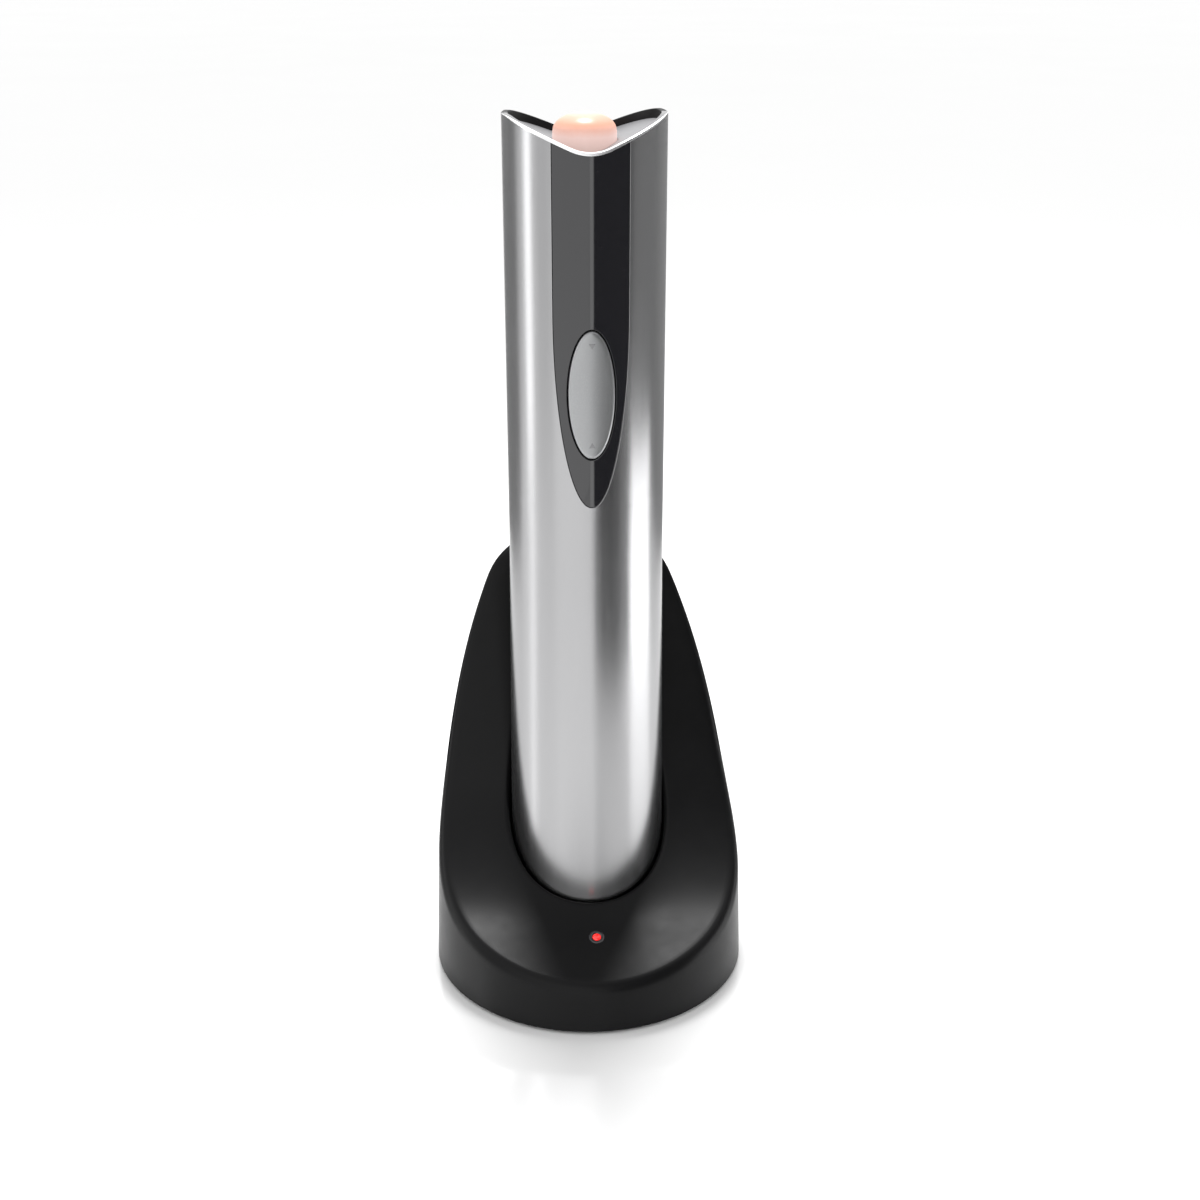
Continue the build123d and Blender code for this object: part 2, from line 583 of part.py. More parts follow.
def rocker_pin():
    """Steel pin that the rocker turns on."""
    return bar_along_x(PIVOT_RADIUS, -PIVOT_HALF_LENGTH, PIVOT_HALF_LENGTH, PIVOT_Y, BUTTON_Z)


# ------------------------------------------------------------------ electronics of the opener
def main_board():
    """Control board behind the button."""
    board = block((-BOARD_HALF_WIDTH, BOARD_HALF_WIDTH), (BOARD_FRONT_Y, BOARD_BACK_Y),
                  (BOARD_BOTTOM, BOARD_TOP))
    for side in (-1, 1):
        for x, z in BOARD_POSTS:
            board -= bar_along_y(BOARD_SCREW_RADIUS + SCREW_GAP, BOARD_FRONT_Y - OVERLAP,
                                 BOARD_BACK_Y + OVERLAP, side * x, z)
    return board


def board_screws():
    """Four small screws that hold the board on the insert's posts."""
    screws = []
    for side in (-1, 1):
        for x, z in BOARD_POSTS:
            tip = BOARD_FRONT_Y - BOARD_SCREW_LENGTH + BOARD_THICKNESS
            shank = bar_along_y(BOARD_SCREW_RADIUS, tip, BOARD_BACK_Y, side * x, z)
            top = BOARD_BACK_Y + BOARD_HEAD_HEIGHT
            screws.append(shank + bar_along_y(BOARD_HEAD_RADIUS, BOARD_BACK_Y, top, side * x, z))
    return Compound(screws)


def button_switches():
    """Two push switches, one under each plunger."""
    switches = []
    for step in (-PLUNGER_SPACING, PLUNGER_SPACING):
        z = BUTTON_Z + step
        body = block((-SWITCH_HALF_WIDTH, SWITCH_HALF_WIDTH), (BOARD_FRONT_Y - SWITCH_HEIGHT, BOARD_FRONT_Y),
                     (z - SWITCH_HALF_WIDTH, z + SWITCH_HALF_WIDTH))
        switches.append(body + bar_along_y(SWITCH_TIP_RADIUS, SWITCH_TIP_Y, BOARD_FRONT_Y - OVERLAP, 0, z))
    return Compound(switches)


def top_cap():
    """Dished cap that closes the tube just under its rim, with the lamp board's posts."""
    radius = BORE - GAP
    under = above_saddle(CAP_DROP + CAP_THICKNESS)
    column = bar(radius, CAP_SKIRT_BOTTOM, OVERALL_HEIGHT)
    lid = (column & under) - above_saddle(CAP_DROP)
    skirt = ring(radius, radius - CAP_SKIRT_WALL, CAP_SKIRT_BOTTOM, OVERALL_HEIGHT)
    cap = lid + (skirt - above_saddle(CAP_DROP + CAP_THICKNESS / 2))
    for angle in LAMP_POST_ANGLES:
        x, y = on_circle(lamp_post_spread(), angle)
        post = bar(LAMP_POST_RADIUS, LAMP_BOARD_BOTTOM + LAMP_BOARD_THICKNESS, OVERALL_HEIGHT, x, y)
        cap += post - above_saddle(CAP_DROP + CAP_THICKNESS / 2)
    return cap - bar(LENS_RADIUS + GAP, LAMP_BOARD_BOTTOM, OVERALL_HEIGHT)


def lamp_post_spread():
    """The lamp board's posts stand on a circle of this radius."""
    return LAMP_BOARD_RADIUS - LAMP_POST_RADIUS - GAP


def lens_flange_top():
    """The lens is pressed up against the cap's underside."""
    return SADDLE_VALLEY - CAP_DROP - CAP_THICKNESS - GAP / 2


def dome(radius, skirt_top, height, low):
    """A straight skirt with the cap of a ball on it."""
    ball_radius = (radius ** 2 + height ** 2) / (2 * height)
    ball = Pos(0, 0, skirt_top + height - ball_radius) * Sphere(ball_radius)
    cap = bar(radius, skirt_top, skirt_top + height) & ball
    return bar(radius, low, skirt_top) + cap


def lens():
    """Hollow domed lens with a flange below the cap."""
    low = lens_flange_top() - LENS_FLANGE_HEIGHT
    height = OVERALL_HEIGHT - LENS_SKIRT_TOP
    body = dome(LENS_RADIUS, LENS_SKIRT_TOP, height, low)
    shoulder = body.edges().filter_by_position(Axis.Z, LENS_SKIRT_TOP - GAP, LENS_SKIRT_TOP + GAP)
    body = fillet(shoulder.filter_by(GeomType.CIRCLE), LENS_EDGE_ROUND)
    body += bar(LENS_RADIUS + LENS_FLANGE, low, lens_flange_top())
    return body - dome(LENS_RADIUS - LENS_WALL, LENS_SKIRT_TOP, height - LENS_WALL, low - OVERLAP)


def lens_board():
    """Round board that carries the lamp under the lens."""
    return bar(LAMP_BOARD_RADIUS, LAMP_BOARD_BOTTOM, LAMP_BOARD_BOTTOM + LAMP_BOARD_THICKNESS)


def lens_lamp():
    """Light-emitting chip with its small silicone dome."""
    seat = LAMP_BOARD_BOTTOM + LAMP_BOARD_THICKNESS
    sides = (-LAMP_CHIP_HALF_WIDTH, LAMP_CHIP_HALF_WIDTH)
    chip = block(sides, sides, (seat, seat + LAMP_CHIP_HEIGHT))
    return chip + dome(LAMP_DOME_RADIUS, seat + LAMP_CHIP_HEIGHT, LAMP_DOME_HEIGHT, seat)


# ------------------------------------------------------------------ battery
def cell_centres():
    """The four cells stand two by two, a little behind the axis."""
    half = CELL_SPACING / 2
    return [(x, CELL_BACK + y) for x in (-half, half) for y in (-half, half)]


def battery_cells():
    """Four rechargeable cells."""
    cells = []
    for x, y in cell_centres():
        can = bar(CELL_RADIUS, CELL_BOTTOM, CELL_TOP - CELL_NIPPLE, x, y)
        can = fillet(can.edges(), CELL_ROUND)
        cells.append(can + bar(CELL_NIPPLE_RADIUS, CELL_TOP - CELL_NIPPLE - OVERLAP, CELL_TOP, x, y))
    return Compound(cells)


def battery_contacts():
    """Two bridging plates below the cells and two above them."""
    half = CELL_SPACING / 2
    plates = []
    for x in (-half, half):
        reach = half + CONTACT_PLATE_HALF_WIDTH
        rows = (CELL_BACK - reach, CELL_BACK + reach)
        sides = (x - CONTACT_PLATE_HALF_WIDTH, x + CONTACT_PLATE_HALF_WIDTH)
        plates.append(block(sides, rows, (CELL_BOTTOM - CONTACT_PLATE, CELL_BOTTOM)))
        plates.append(block(sides, rows, (CELL_TOP, CELL_TOP + CONTACT_PLATE)))
    return Compound(plates)


def battery_tray():
    """Open frame that holds the cells between two plates."""
    envelope = bar(TRAY_RADIUS, TRAY_BOTTOM, TRAY_TOP) & block((-FAR, FAR), (TRAY_FRONT_Y, FAR),
                                                              (TRAY_BOTTOM, TRAY_TOP))
    plates = envelope & block((-FAR, FAR), (-FAR, FAR), (TRAY_BOTTOM, TRAY_BOTTOM + TRAY_PLATE))
    plates += envelope & block((-FAR, FAR), (-FAR, FAR), (TRAY_TOP - TRAY_PLATE, TRAY_TOP))
    side_start = CELL_SPACING / 2 + CELL_RADIUS + GAP
    rows = (CELL_BACK - TRAY_SIDE_HALF_LENGTH, CELL_BACK + TRAY_SIDE_HALF_LENGTH)
    for side in (-1, 1):
        reach = sorted((side * side_start, side * (side_start + TRAY_SIDE)))
        plates += envelope & block(reach, rows, (TRAY_BOTTOM, TRAY_TOP))
    return plates


# ------------------------------------------------------------------ motor
def motor_can():
    """Drawn steel can, open at the top, with its two screw holes and a bearing hole below."""
    can = bar(MOTOR_RADIUS, MOTOR_BOTTOM, MOTOR_CAN_TOP)
    can = fillet(can.edges().sort_by(Axis.Z)[0], MOTOR_EDGE_ROUND)
    can -= bar(MOTOR_RADIUS - MOTOR_WALL, MOTOR_BOTTOM + MOTOR_WALL, MOTOR_CAN_TOP + OVERLAP)
    can -= bar(MOTOR_SHAFT_RADIUS + RUNNING_GAP, MOTOR_BOTTOM - OVERLAP, MOTOR_CAN_TOP)
    for side in (-1, 1):
        can -= bar(MOTOR_SCREW_RADIUS + SCREW_GAP, MOTOR_BOTTOM - OVERLAP, MOTOR_CAN_TOP,
                   side * MOTOR_SCREW_SPREAD)
    return can


def motor_magnets():
    """Two curved magnets against the can."""
    whole = ring(MOTOR_RADIUS - MOTOR_WALL, MAGNET_INNER, MOTOR_BOTTOM + MAGNET_BELOW,
                 MOTOR_CAN_TOP - MAGNET_ABOVE)
    sides = ((MAGNET_SPLIT / 2, FAR), (-FAR, -MAGNET_SPLIT / 2))
    return Compound([whole & block(side, (-FAR, FAR), (0, FAR * 2)) for side in sides])


def motor_end_cap():
    """Moulded end cap with the brush terminals."""
    cap = bar(MOTOR_RADIUS, MOTOR_CAN_TOP, MOTOR_TOP)
    cap = fillet(cap.edges().sort_by(Axis.Z)[-1], MOTOR_EDGE_ROUND)
    return cap - bar(MOTOR_SHAFT_RADIUS + RUNNING_GAP, MOTOR_CAN_TOP - OVERLAP, MOTOR_TOP + OVERLAP)


def motor_armature():
    """Slotted stack with its commutator."""
    low = MOTOR_BOTTOM + ARMATURE_BELOW
    high = MOTOR_CAN_TOP - ARMATURE_ABOVE
    stack = bar(ARMATURE_RADIUS, low, high)
    levels = (low - OVERLAP, high + OVERLAP)
    mouth = (-ARMATURE_SLOT_MOUTH / 2, ARMATURE_SLOT_MOUTH / 2)
    room = (-ARMATURE_SLOT_WIDTH / 2, ARMATURE_SLOT_WIDTH / 2)
    slot = block((ARMATURE_SLOT_ROOT, FAR), mouth, levels)
    slot += block((ARMATURE_SLOT_ROOT, ARMATURE_SLOT_END), room, levels)
    for index in range(ARMATURE_SLOTS):
        stack -= Rot(0, 0, 360 / ARMATURE_SLOTS * (index + 0.5)) * slot
    stack += bar(COMMUTATOR_RADIUS, high, MOTOR_CAN_TOP - COMMUTATOR_GAP)
    return stack - bar(MOTOR_SHAFT_RADIUS, low - OVERLAP, MOTOR_CAN_TOP)


def motor_shaft():
    """Shaft from the first pinion to the end cap."""
    return bar(MOTOR_SHAFT_RADIUS, FIRST_PLANET_Z + FACE_GAP / 2, MOTOR_TOP + MOTOR_SHAFT_STUB)


def motor_screws():
    """Two screws that hold the motor on the gearbox cover."""
    screws = []
    for side in (-1, 1):
        x = side * MOTOR_SCREW_SPREAD
        head = bar(MOTOR_HEAD_RADIUS, GEARBOX_TOP, GEARBOX_TOP + MOTOR_HEAD_HEIGHT, x)
        screws.append(head + bar(MOTOR_SCREW_RADIUS, GEARBOX_TOP, MOTOR_BOTTOM + MOTOR_SCREW_REACH, x))
    return Compound(screws)


# ------------------------------------------------------------------ gears
def tooth_half_angle(teeth, radius, thickness):
    """Half the angle that a tooth of the given pitch thickness fills at a radius."""
    pitch_radius = GEAR_MODULE * teeth / 2
    base_radius = pitch_radius * cos(radians(PRESSURE_ANGLE))

    def involute(r):
        reach = sqrt(max(r * r / base_radius ** 2 - 1, 0))
        return reach - atan2(reach, 1)

    return thickness / (2 * pitch_radius) + involute(pitch_radius) - involute(max(radius, base_radius))


def gear_outline(teeth, tip, root, thickness):
    """A closed gear outline with a tooth on +X, its flanks short chords of the involute."""
    pitch_radius = GEAR_MODULE * teeth / 2
    low = pitch_radius - root * GEAR_MODULE
    high = pitch_radius + tip * GEAR_MODULE
    base_radius = pitch_radius * cos(radians(PRESSURE_ANGLE))
    start = max(low, base_radius)
    flank = [low] + [start + (high - start) * step / 4 for step in range(5)]
    if start == low:
        flank = flank[1:]
    points = []
    for index in range(teeth):
        centre = 2 * pi * index / teeth
        for radius in flank:
            angle = centre - tooth_half_angle(teeth, radius, thickness)
            points.append((radius * cos(angle), radius * sin(angle)))
        for radius in reversed(flank):
            angle = centre + tooth_half_angle(teeth, radius, thickness)
            points.append((radius * cos(angle), radius * sin(angle)))
    return make_face(Polyline(*points, close=True))


def spur_gear(teeth, low, high):
    """A spur gear about the axis."""
    thickness = pi * GEAR_MODULE / 2 - TOOTH_THINNING
    return extrude(Pos(0, 0, low) * gear_outline(teeth, TOOTH_TIP, TOOTH_ROOT, thickness), amount=high - low)


def ring_gear_space(low, high):
    """The space inside the ring gear, with a tooth of the ring on +X."""
    thickness = pi * GEAR_MODULE / 2 + TOOTH_THINNING
    outline = gear_outline(RING_TEETH, TOOTH_ROOT, TOOTH_TIP, thickness)
    return extrude(Pos(0, 0, low) * Rot(0, 0, 180 / RING_TEETH) * outline, amount=high - low)


def motor_pinion():
    """First sun gear, pressed on the motor's shaft."""
    low = FIRST_PLANET_Z + FACE_GAP / 2
    hole = bar(MOTOR_SHAFT_RADIUS, low - OVERLAP, GEARBOX_TOP + OVERLAP)
    return spur_gear(SUN_TEETH, low, GEARBOX_TOP) - hole


def second_sun():
    """Sun gear of the second stage, fixed under the first carrier."""
    return spur_gear(SUN_TEETH, SECOND_PLANET_Z + FACE_GAP / 2, FIRST_CARRIER_Z)


def planet(index, low):
    """One planet gear, with a gap towards the sun."""
    gear = Rot(0, 0, 180 / PLANET_TEETH) * spur_gear(PLANET_TEETH, low, low + PLANET_FACE)
    gear -= bar(PLANET_PIN_RADIUS + RUNNING_GAP, low - OVERLAP, low + PLANET_FACE + OVERLAP)
    return Rot(0, 0, 360 / PLANET_COUNT * index) * Pos(GEAR_CENTRES, 0, 0) * gear


def carrier(low, thickness):
    """A disc with a pin for each planet."""
    disc = bar(CARRIER_RADIUS, low, low + thickness)
    for index in range(PLANET_COUNT):
        x, y = on_circle(GEAR_CENTRES, 360 / PLANET_COUNT * index)
        disc += bar(PLANET_PIN_RADIUS, low, low + thickness + PLANET_FACE + FACE_GAP * 0.75, x, y)
    return disc


def first_carrier():
    """Carrier of the first stage."""
    return carrier(FIRST_CARRIER_Z, FIRST_CARRIER_THICKNESS)


def second_carrier():
    """Carrier of the second stage, with the output shaft below it."""
    shaft = bar(OUTPUT_RADIUS, GEARBOX_BOTTOM - OUTPUT_STUB, SECOND_CARRIER_Z)
    return carrier(SECOND_CARRIER_Z, SECOND_CARRIER_THICKNESS) + shaft


def flange_holes(solid, low, high):
    """The flange's three screw holes and its notches for the wires."""
    for angle in SCREW_ANGLES:
        x, y = on_circle(GEARBOX_SCREW_SPREAD, angle)
        solid -= bar(GEARBOX_SCREW_RADIUS + SCREW_GAP, low - OVERLAP, high + OVERLAP, x, y)
    return solid - wire_notches(low - OVERLAP, high + OVERLAP)


def gearbox_housing():
    """Housing with the ring gear cut in it and a floor for the output bush."""
    floor_top = GEARBOX_BOTTOM + GEARBOX_FLOOR
    housing = bar(GEARBOX_RADIUS, GEARBOX_BOTTOM, GEARBOX_TOP)
    housing += bar(FLANGE_RADIUS, GEARBOX_BOTTOM, GEARBOX_BOTTOM + FLANGE_HEIGHT)
    housing -= ring_gear_space(floor_top, GEARBOX_TOP + OVERLAP)
    housing -= bar(OUTPUT_RADIUS + RUNNING_GAP + BUSH_WALL, GEARBOX_BOTTOM - OVERLAP, floor_top + OVERLAP)
    return flange_holes(housing, GEARBOX_BOTTOM, GEARBOX_BOTTOM + FLANGE_HEIGHT)


def gearbox_cover():
    """Plate between the gearbox and the motor."""
    cover = bar(GEARBOX_RADIUS, GEARBOX_TOP, MOTOR_BOTTOM)
    below, above = GEARBOX_TOP - OVERLAP, MOTOR_BOTTOM + OVERLAP
    cover -= bar(SUN_RADIUS + PINION_HOLE_GAP, below, above)
    for side in (-1, 1):
        x = side * MOTOR_SCREW_SPREAD
        cover -= bar(MOTOR_HEAD_RADIUS + SCREW_GAP, below, GEARBOX_TOP + MOTOR_HEAD_HEIGHT, x)
        cover -= bar(MOTOR_SCREW_RADIUS + SCREW_GAP, below, above, x)
    return cover


def output_bush():
    """Bronze bush in the gearbox floor."""
    inner = OUTPUT_RADIUS + RUNNING_GAP
    return ring(inner + BUSH_WALL, inner, GEARBOX_BOTTOM, GEARBOX_BOTTOM + GEARBOX_FLOOR)


def gearbox_screws():
    """Three screws through the gearbox flange and the cork sleeve's flange."""
    seat = GEARBOX_BOTTOM + FLANGE_HEIGHT
    screws = []
    for angle in SCREW_ANGLES:
        x, y = on_circle(GEARBOX_SCREW_SPREAD, angle)
        head = bar(GEARBOX_HEAD_RADIUS, seat, seat + GEARBOX_HEAD_HEIGHT, x, y)
        screws.append(head + bar(GEARBOX_SCREW_RADIUS, GEARBOX_BOTTOM - GEARBOX_SCREW_TIP, seat, x, y))
    return Compound(screws)


# ------------------------------------------------------------------ corkscrew
def spiral_hub():
    """Hub under the output shaft that carries the spiral."""
    hub = bar(HUB_RADIUS, HUB_BOTTOM, GEARBOX_BOTTOM - OUTPUT_STUB)
    return fillet(hub.edges().sort_by(Axis.Z)[0], HUB_ROUND)


def spiral():
    """Open right-hand spiral with a pointed tip."""
    mean_radius = SPIRAL_RADIUS - SPIRAL_WIRE
    run = SPIRAL_PITCH * SPIRAL_TURNS
    path = Pos(0, 0, SPIRAL_TOP - run) * Helix(pitch=SPIRAL_PITCH, height=run, radius=mean_radius)
    start = Plane(path @ 0, z_dir=path % 0)
    body = sweep(start * Circle(SPIRAL_WIRE), path=path, is_frenet=True)
    tip_plane = Plane(path @ 0, z_dir=(path % 0) * -1)
    tip = Cone(SPIRAL_WIRE, SPIRAL_TIP_RADIUS, SPIRAL_TIP_LENGTH,
               align=(Align.CENTER, Align.CENTER, Align.MIN))
    return body + tip_plane * tip


def cork_sleeve():
    """Fixed sleeve that guides the cork, with a flange under the gearbox."""
    sleeve = ring(CORK_SLEEVE_RADIUS, CORK_CHAMBER_RADIUS, CORK_SLEEVE_BOTTOM, GEARBOX_BOTTOM)
    for index in range(CORK_RIBS):
        rib = block((CORK_RIB_RADIUS, CORK_CHAMBER_RADIUS + OVERLAP),
                    (-CORK_RIB_WIDTH / 2, CORK_RIB_WIDTH / 2),
                    (CORK_SLEEVE_BOTTOM, GEARBOX_BOTTOM - CORK_RIB_STOP))
        sleeve += Rot(0, 0, 360 / CORK_RIBS * index) * rib
    low = GEARBOX_BOTTOM - FLANGE_HEIGHT
    flange = ring(FLANGE_RADIUS, CORK_CHAMBER_RADIUS, low, GEARBOX_BOTTOM)
    return sleeve + flange_holes(flange, low, GEARBOX_BOTTOM)


# ------------------------------------------------------------------ neck guide and the foot of the tube
def lower_sleeve():
    """Sleeve that the neck guide slides in: stepped bore, spring seat on top, bead on the rib."""
    profile = [(SLEEVE_NARROW_BORE, SHELL_BOTTOM), (SLEEVE_RADIUS, SHELL_BOTTOM),
               (SLEEVE_RADIUS, SLEEVE_TOP), (CORK_SLEEVE_RADIUS + LOOSE_GAP, SLEEVE_TOP),
               (CORK_SLEEVE_RADIUS + LOOSE_GAP, SLEEVE_TOP - SPRING_SEAT),
               (SLEEVE_WIDE_BORE, SLEEVE_TOP - SPRING_SEAT), (SLEEVE_WIDE_BORE, GUIDE_SHOULDER),
               (SLEEVE_NARROW_BORE, GUIDE_SHOULDER)]
    sleeve = turned(profile)
    bead_low = SLEEVE_RIB_Z + RIB_HEIGHT
    bead = ring(SLEEVE_BEAD_RADIUS, SLEEVE_RADIUS - OVERLAP, bead_low, bead_low + RIB_HEIGHT)
    sleeve += bead - wire_notches(bead_low - OVERLAP, bead_low + RIB_HEIGHT + OVERLAP)
    for angle in SCREW_ANGLES:
        x, y = on_circle(COLLAR_SCREW_SPREAD, angle)
        column_top = SHELL_BOTTOM + COLLAR_SCREW_DEPTH + COLLAR_COLUMN_SPARE
        column = bar(COLLAR_COLUMN_RADIUS, SHELL_BOTTOM, column_top, x, y)
        sleeve += column - bar(SLEEVE_RADIUS - OVERLAP, 0, FAR)
        sleeve -= bar(COLLAR_SCREW_RADIUS + SCREW_GAP, 0, SHELL_BOTTOM + COLLAR_SCREW_DEPTH, x, y)
    return sleeve


def neck_guide():
    """Sliding guide that takes the bottle's neck, with a shoulder for its mouth."""
    profile = [(GUIDE_BORE_RADIUS + GUIDE_LEAD_SPREAD, GUIDE_BOTTOM), (GUIDE_RADIUS, GUIDE_BOTTOM),
               (GUIDE_RADIUS, GUIDE_SHOULDER), (GUIDE_FLANGE_RADIUS, GUIDE_SHOULDER),
               (GUIDE_FLANGE_RADIUS, GUIDE_TOP), (GUIDE_SHOULDER_HOLE, GUIDE_TOP),
               (GUIDE_SHOULDER_HOLE, GUIDE_SHOULDER), (GUIDE_BORE_RADIUS, GUIDE_SHOULDER),
               (GUIDE_BORE_RADIUS, GUIDE_BOTTOM + GUIDE_LEAD_IN)]
    return turned(profile)


def guide_spring():
    """Spring that presses the neck guide down."""
    return coil(SPRING_RADIUS, SPRING_WIRE, GUIDE_TOP, SLEEVE_TOP - SPRING_SEAT, SPRING_TURNS)


def collar_screw_seat():
    """Height of the faces that the collar's screws pull on."""
    return OPENER_BOTTOM + COLLAR_HEAD_HEIGHT + COLLAR_HEAD_SINK


def bottom_collar():
    """Collar that closes the foot of the tube."""
    collar = ring(FLARE_RADIUS - GAP, COLLAR_HOLE_RADIUS, OPENER_BOTTOM, SHELL_BOTTOM)
    for angle in SCREW_ANGLES:
        x, y = on_circle(COLLAR_SCREW_SPREAD, angle)
        collar -= bar(COLLAR_SCREW_RADIUS + SCREW_GAP, 0, FAR, x, y)
        collar -= bar(COLLAR_HEAD_RADIUS + SCREW_GAP, 0, collar_screw_seat(), x, y)
    for side in (-1, 1):
        collar -= bar(PAD_RADIUS, 0, OPENER_BOTTOM + PAD_THICKNESS, side * WIRE_X, WIRE_Y)
        collar -= bar(WIRE_RADIUS, 0, FAR, side * WIRE_X, WIRE_Y)
    return collar


def collar_screws():
    """Three screws that pull the collar up against the sleeve."""
    seat = collar_screw_seat()
    tip = SHELL_BOTTOM + COLLAR_SCREW_DEPTH - OVERLAP
    screws = []
    for angle in SCREW_ANGLES:
        x, y = on_circle(COLLAR_SCREW_SPREAD, angle)
        head = bar(COLLAR_HEAD_RADIUS, seat - COLLAR_HEAD_HEIGHT, seat, x, y)
        screws.append(head + bar(COLLAR_SCREW_RADIUS, seat, tip, x, y))
    return Compound(screws)


def charge_pads():
    """Two round charging pads in the collar's underside, each with its stem."""
    pads = []
    for side in (-1, 1):
        pad = bar(PAD_RADIUS, OPENER_BOTTOM, OPENER_BOTTOM + PAD_THICKNESS, side * WIRE_X, WIRE_Y)
        stem = bar(WIRE_RADIUS, OPENER_BOTTOM + PAD_THICKNESS, SHELL_BOTTOM, side * WIRE_X, WIRE_Y)
        pads.append(pad + stem)
    return Compound(pads)


# ------------------------------------------------------------------ leads inside the opener
def charge_leads():
    """From the charging pads up the back of the tube and forward over the motor to the board."""
    level = (MOTOR_TOP + TRAY_BOTTOM) / 2
    leads = []
    for side in (-1, 1):
        x = side * WIRE_X
        route = [(x, WIRE_Y, SHELL_BOTTOM), (x, WIRE_Y, level), (x, BOARD_BACK_Y, level)]
        leads.append(wire(route, WIRE_RADIUS, WIRE_BEND))
    return Compound(leads)


def motor_leads():
    """A pair from the motor's terminals to the board."""
    level = (MOTOR_TOP + TRAY_BOTTOM) / 2
    leads = []
    for x in (-MOTOR_LEAD_X, MOTOR_LEAD_X):
        route = [(x, 0, MOTOR_TOP), (x, 0, level), (x, BOARD_BACK_Y, level)]
        leads.append(wire(route, WIRE_RADIUS, WIRE_BEND))
    return leads


def board_edge_leads(x, start_z, crest):
    """A pair of leads that run over to the top edge of the board, from a height and over a crest."""
    middle = (BOARD_FRONT_Y + BOARD_BACK_Y) / 2
    leads = []
    for side in (-1, 1):
        route = [(side * x, EDGE_LEAD_Y, start_z), (side * x, EDGE_LEAD_Y, crest),
                 (side * x, middle, crest), (side * x, middle, BOARD_TOP)]
        leads.append(wire(route, WIRE_RADIUS, EDGE_LEAD_BEND))
    return leads


def board_leads():
    """The pairs from the motor, the battery's top plate and the lamp board to the main board."""
    battery = board_edge_leads(BATTERY_LEAD_X, TRAY_TOP, TRAY_TOP + BATTERY_LEAD_RISE)
    lamp = board_edge_leads(LAMP_LEAD_X, LAMP_BOARD_BOTTOM, LAMP_BOARD_BOTTOM - LAMP_LEAD_DROP)
    return Compound(motor_leads() + battery + lamp)


# ------------------------------------------------------------------ charging base
def base_plan(inset):
    """Footprint of the base, shrunk by inset: half a circle in front, half an ellipse behind."""
    half = BASE_HALF_WIDTH - inset
    rear = BASE_REAR_DEPTH - inset
    front_arc = ThreePointArc((-half, 0), (0, -half), (half, 0))
    rear_arc = EllipticalCenterArc((0, 0), half, rear, start_angle=0, arc_size=180)
    return Pos(0, BASE_CENTRE_Y, 0) * make_face(front_arc + rear_arc)


def base_column(inset, low):
    """The drafted column that the base is cut from."""
    high = CREST_HEIGHT + BASE_HEADROOM
    shrink = tan(radians(BASE_DRAFT))
    bottom = Pos(0, 0, low) * base_plan(inset + (low - BASE_SKIRT_BOTTOM) * shrink)
    top = Pos(0, 0, high) * base_plan(inset + (high - BASE_SKIRT_BOTTOM) * shrink)
    return loft([bottom, top], ruled=True)


def front_slope_z(y, inset=0.0):
    """Height of the shelf in front of the tube at a place y."""
    return FRONT_SLOPE_AT_AXIS - inset / cos(radians(FRONT_SLOPE)) + y * tan(radians(FRONT_SLOPE))


def under_base_top(inset):
    """Everything under the sloping top of the base, lowered by inset."""
    front_tan = tan(radians(FRONT_SLOPE))
    steep_tan = tan(radians(STEEP_SLOPE))
    steep_start = STEEP_SLOPE_AT_AXIS - inset / cos(radians(STEEP_SLOPE))
    corner_y = (front_slope_z(0, inset) - steep_start) / (steep_tan - front_tan)
    crest = CREST_HEIGHT - inset
    crest_y = (crest - steep_start) / steep_tan
    line = FilletPolyline((-FAR / 2, front_slope_z(-FAR / 2, inset)),
                          (corner_y, front_slope_z(corner_y, inset)), (crest_y, crest), (FAR, crest),
                          radius=[VALLEY_ROUND + inset, CREST_ROUND - inset])
    close = Polyline((FAR, crest), (FAR, -FAR), (-FAR / 2, -FAR), (-FAR / 2, front_slope_z(-FAR / 2, inset)))
    return extrude(make_face(Plane.YZ * (line + close)), amount=FAR / 2, both=True)


def base_outer():
    """The base's outside, with its rim rounded over."""
    outer = base_column(0, BASE_SKIRT_BOTTOM) & under_base_top(0)
    rim = [edge for edge in outer.edges()
           if edge.geom_type != GeomType.LINE and edge.center().Z > BASE_SKIRT_BOTTOM + OVERLAP]
    return fillet(rim, BASE_EDGE_ROUND)


def base_bosses(shape):
    """Four screw bosses, each tied to the side wall by a web."""
    bosses = []
    for x, y in BASE_BOSS_POINTS:
        for side in (-1, 1):
            post = bar(BASE_BOSS_RADIUS, COVER_TOP, BASE_BOSS_TOP, side * x, y)
            outward = degrees(atan2(y - BASE_CENTRE_Y, side * x))
            web = Pos(side * x, y, 0) * Rot(0, 0, outward) * block((0, BASE_HALF_WIDTH),
                                                                  (-BASE_WEB / 2, BASE_WEB / 2),
                                                                  (COVER_TOP, BASE_BOSS_TOP))
            bosses.append(post + web)
    solid = bosses[0]
    for boss in bosses[1:]:
        solid += boss
    return solid & shape


def led_plane():
    """The place and direction of the charging light, square to the shelf."""
    slope = radians(FRONT_SLOPE)
    return Plane((0, LED_Y, front_slope_z(LED_Y)), x_dir=(1, 0, 0), z_dir=(0, -sin(slope), cos(slope)))


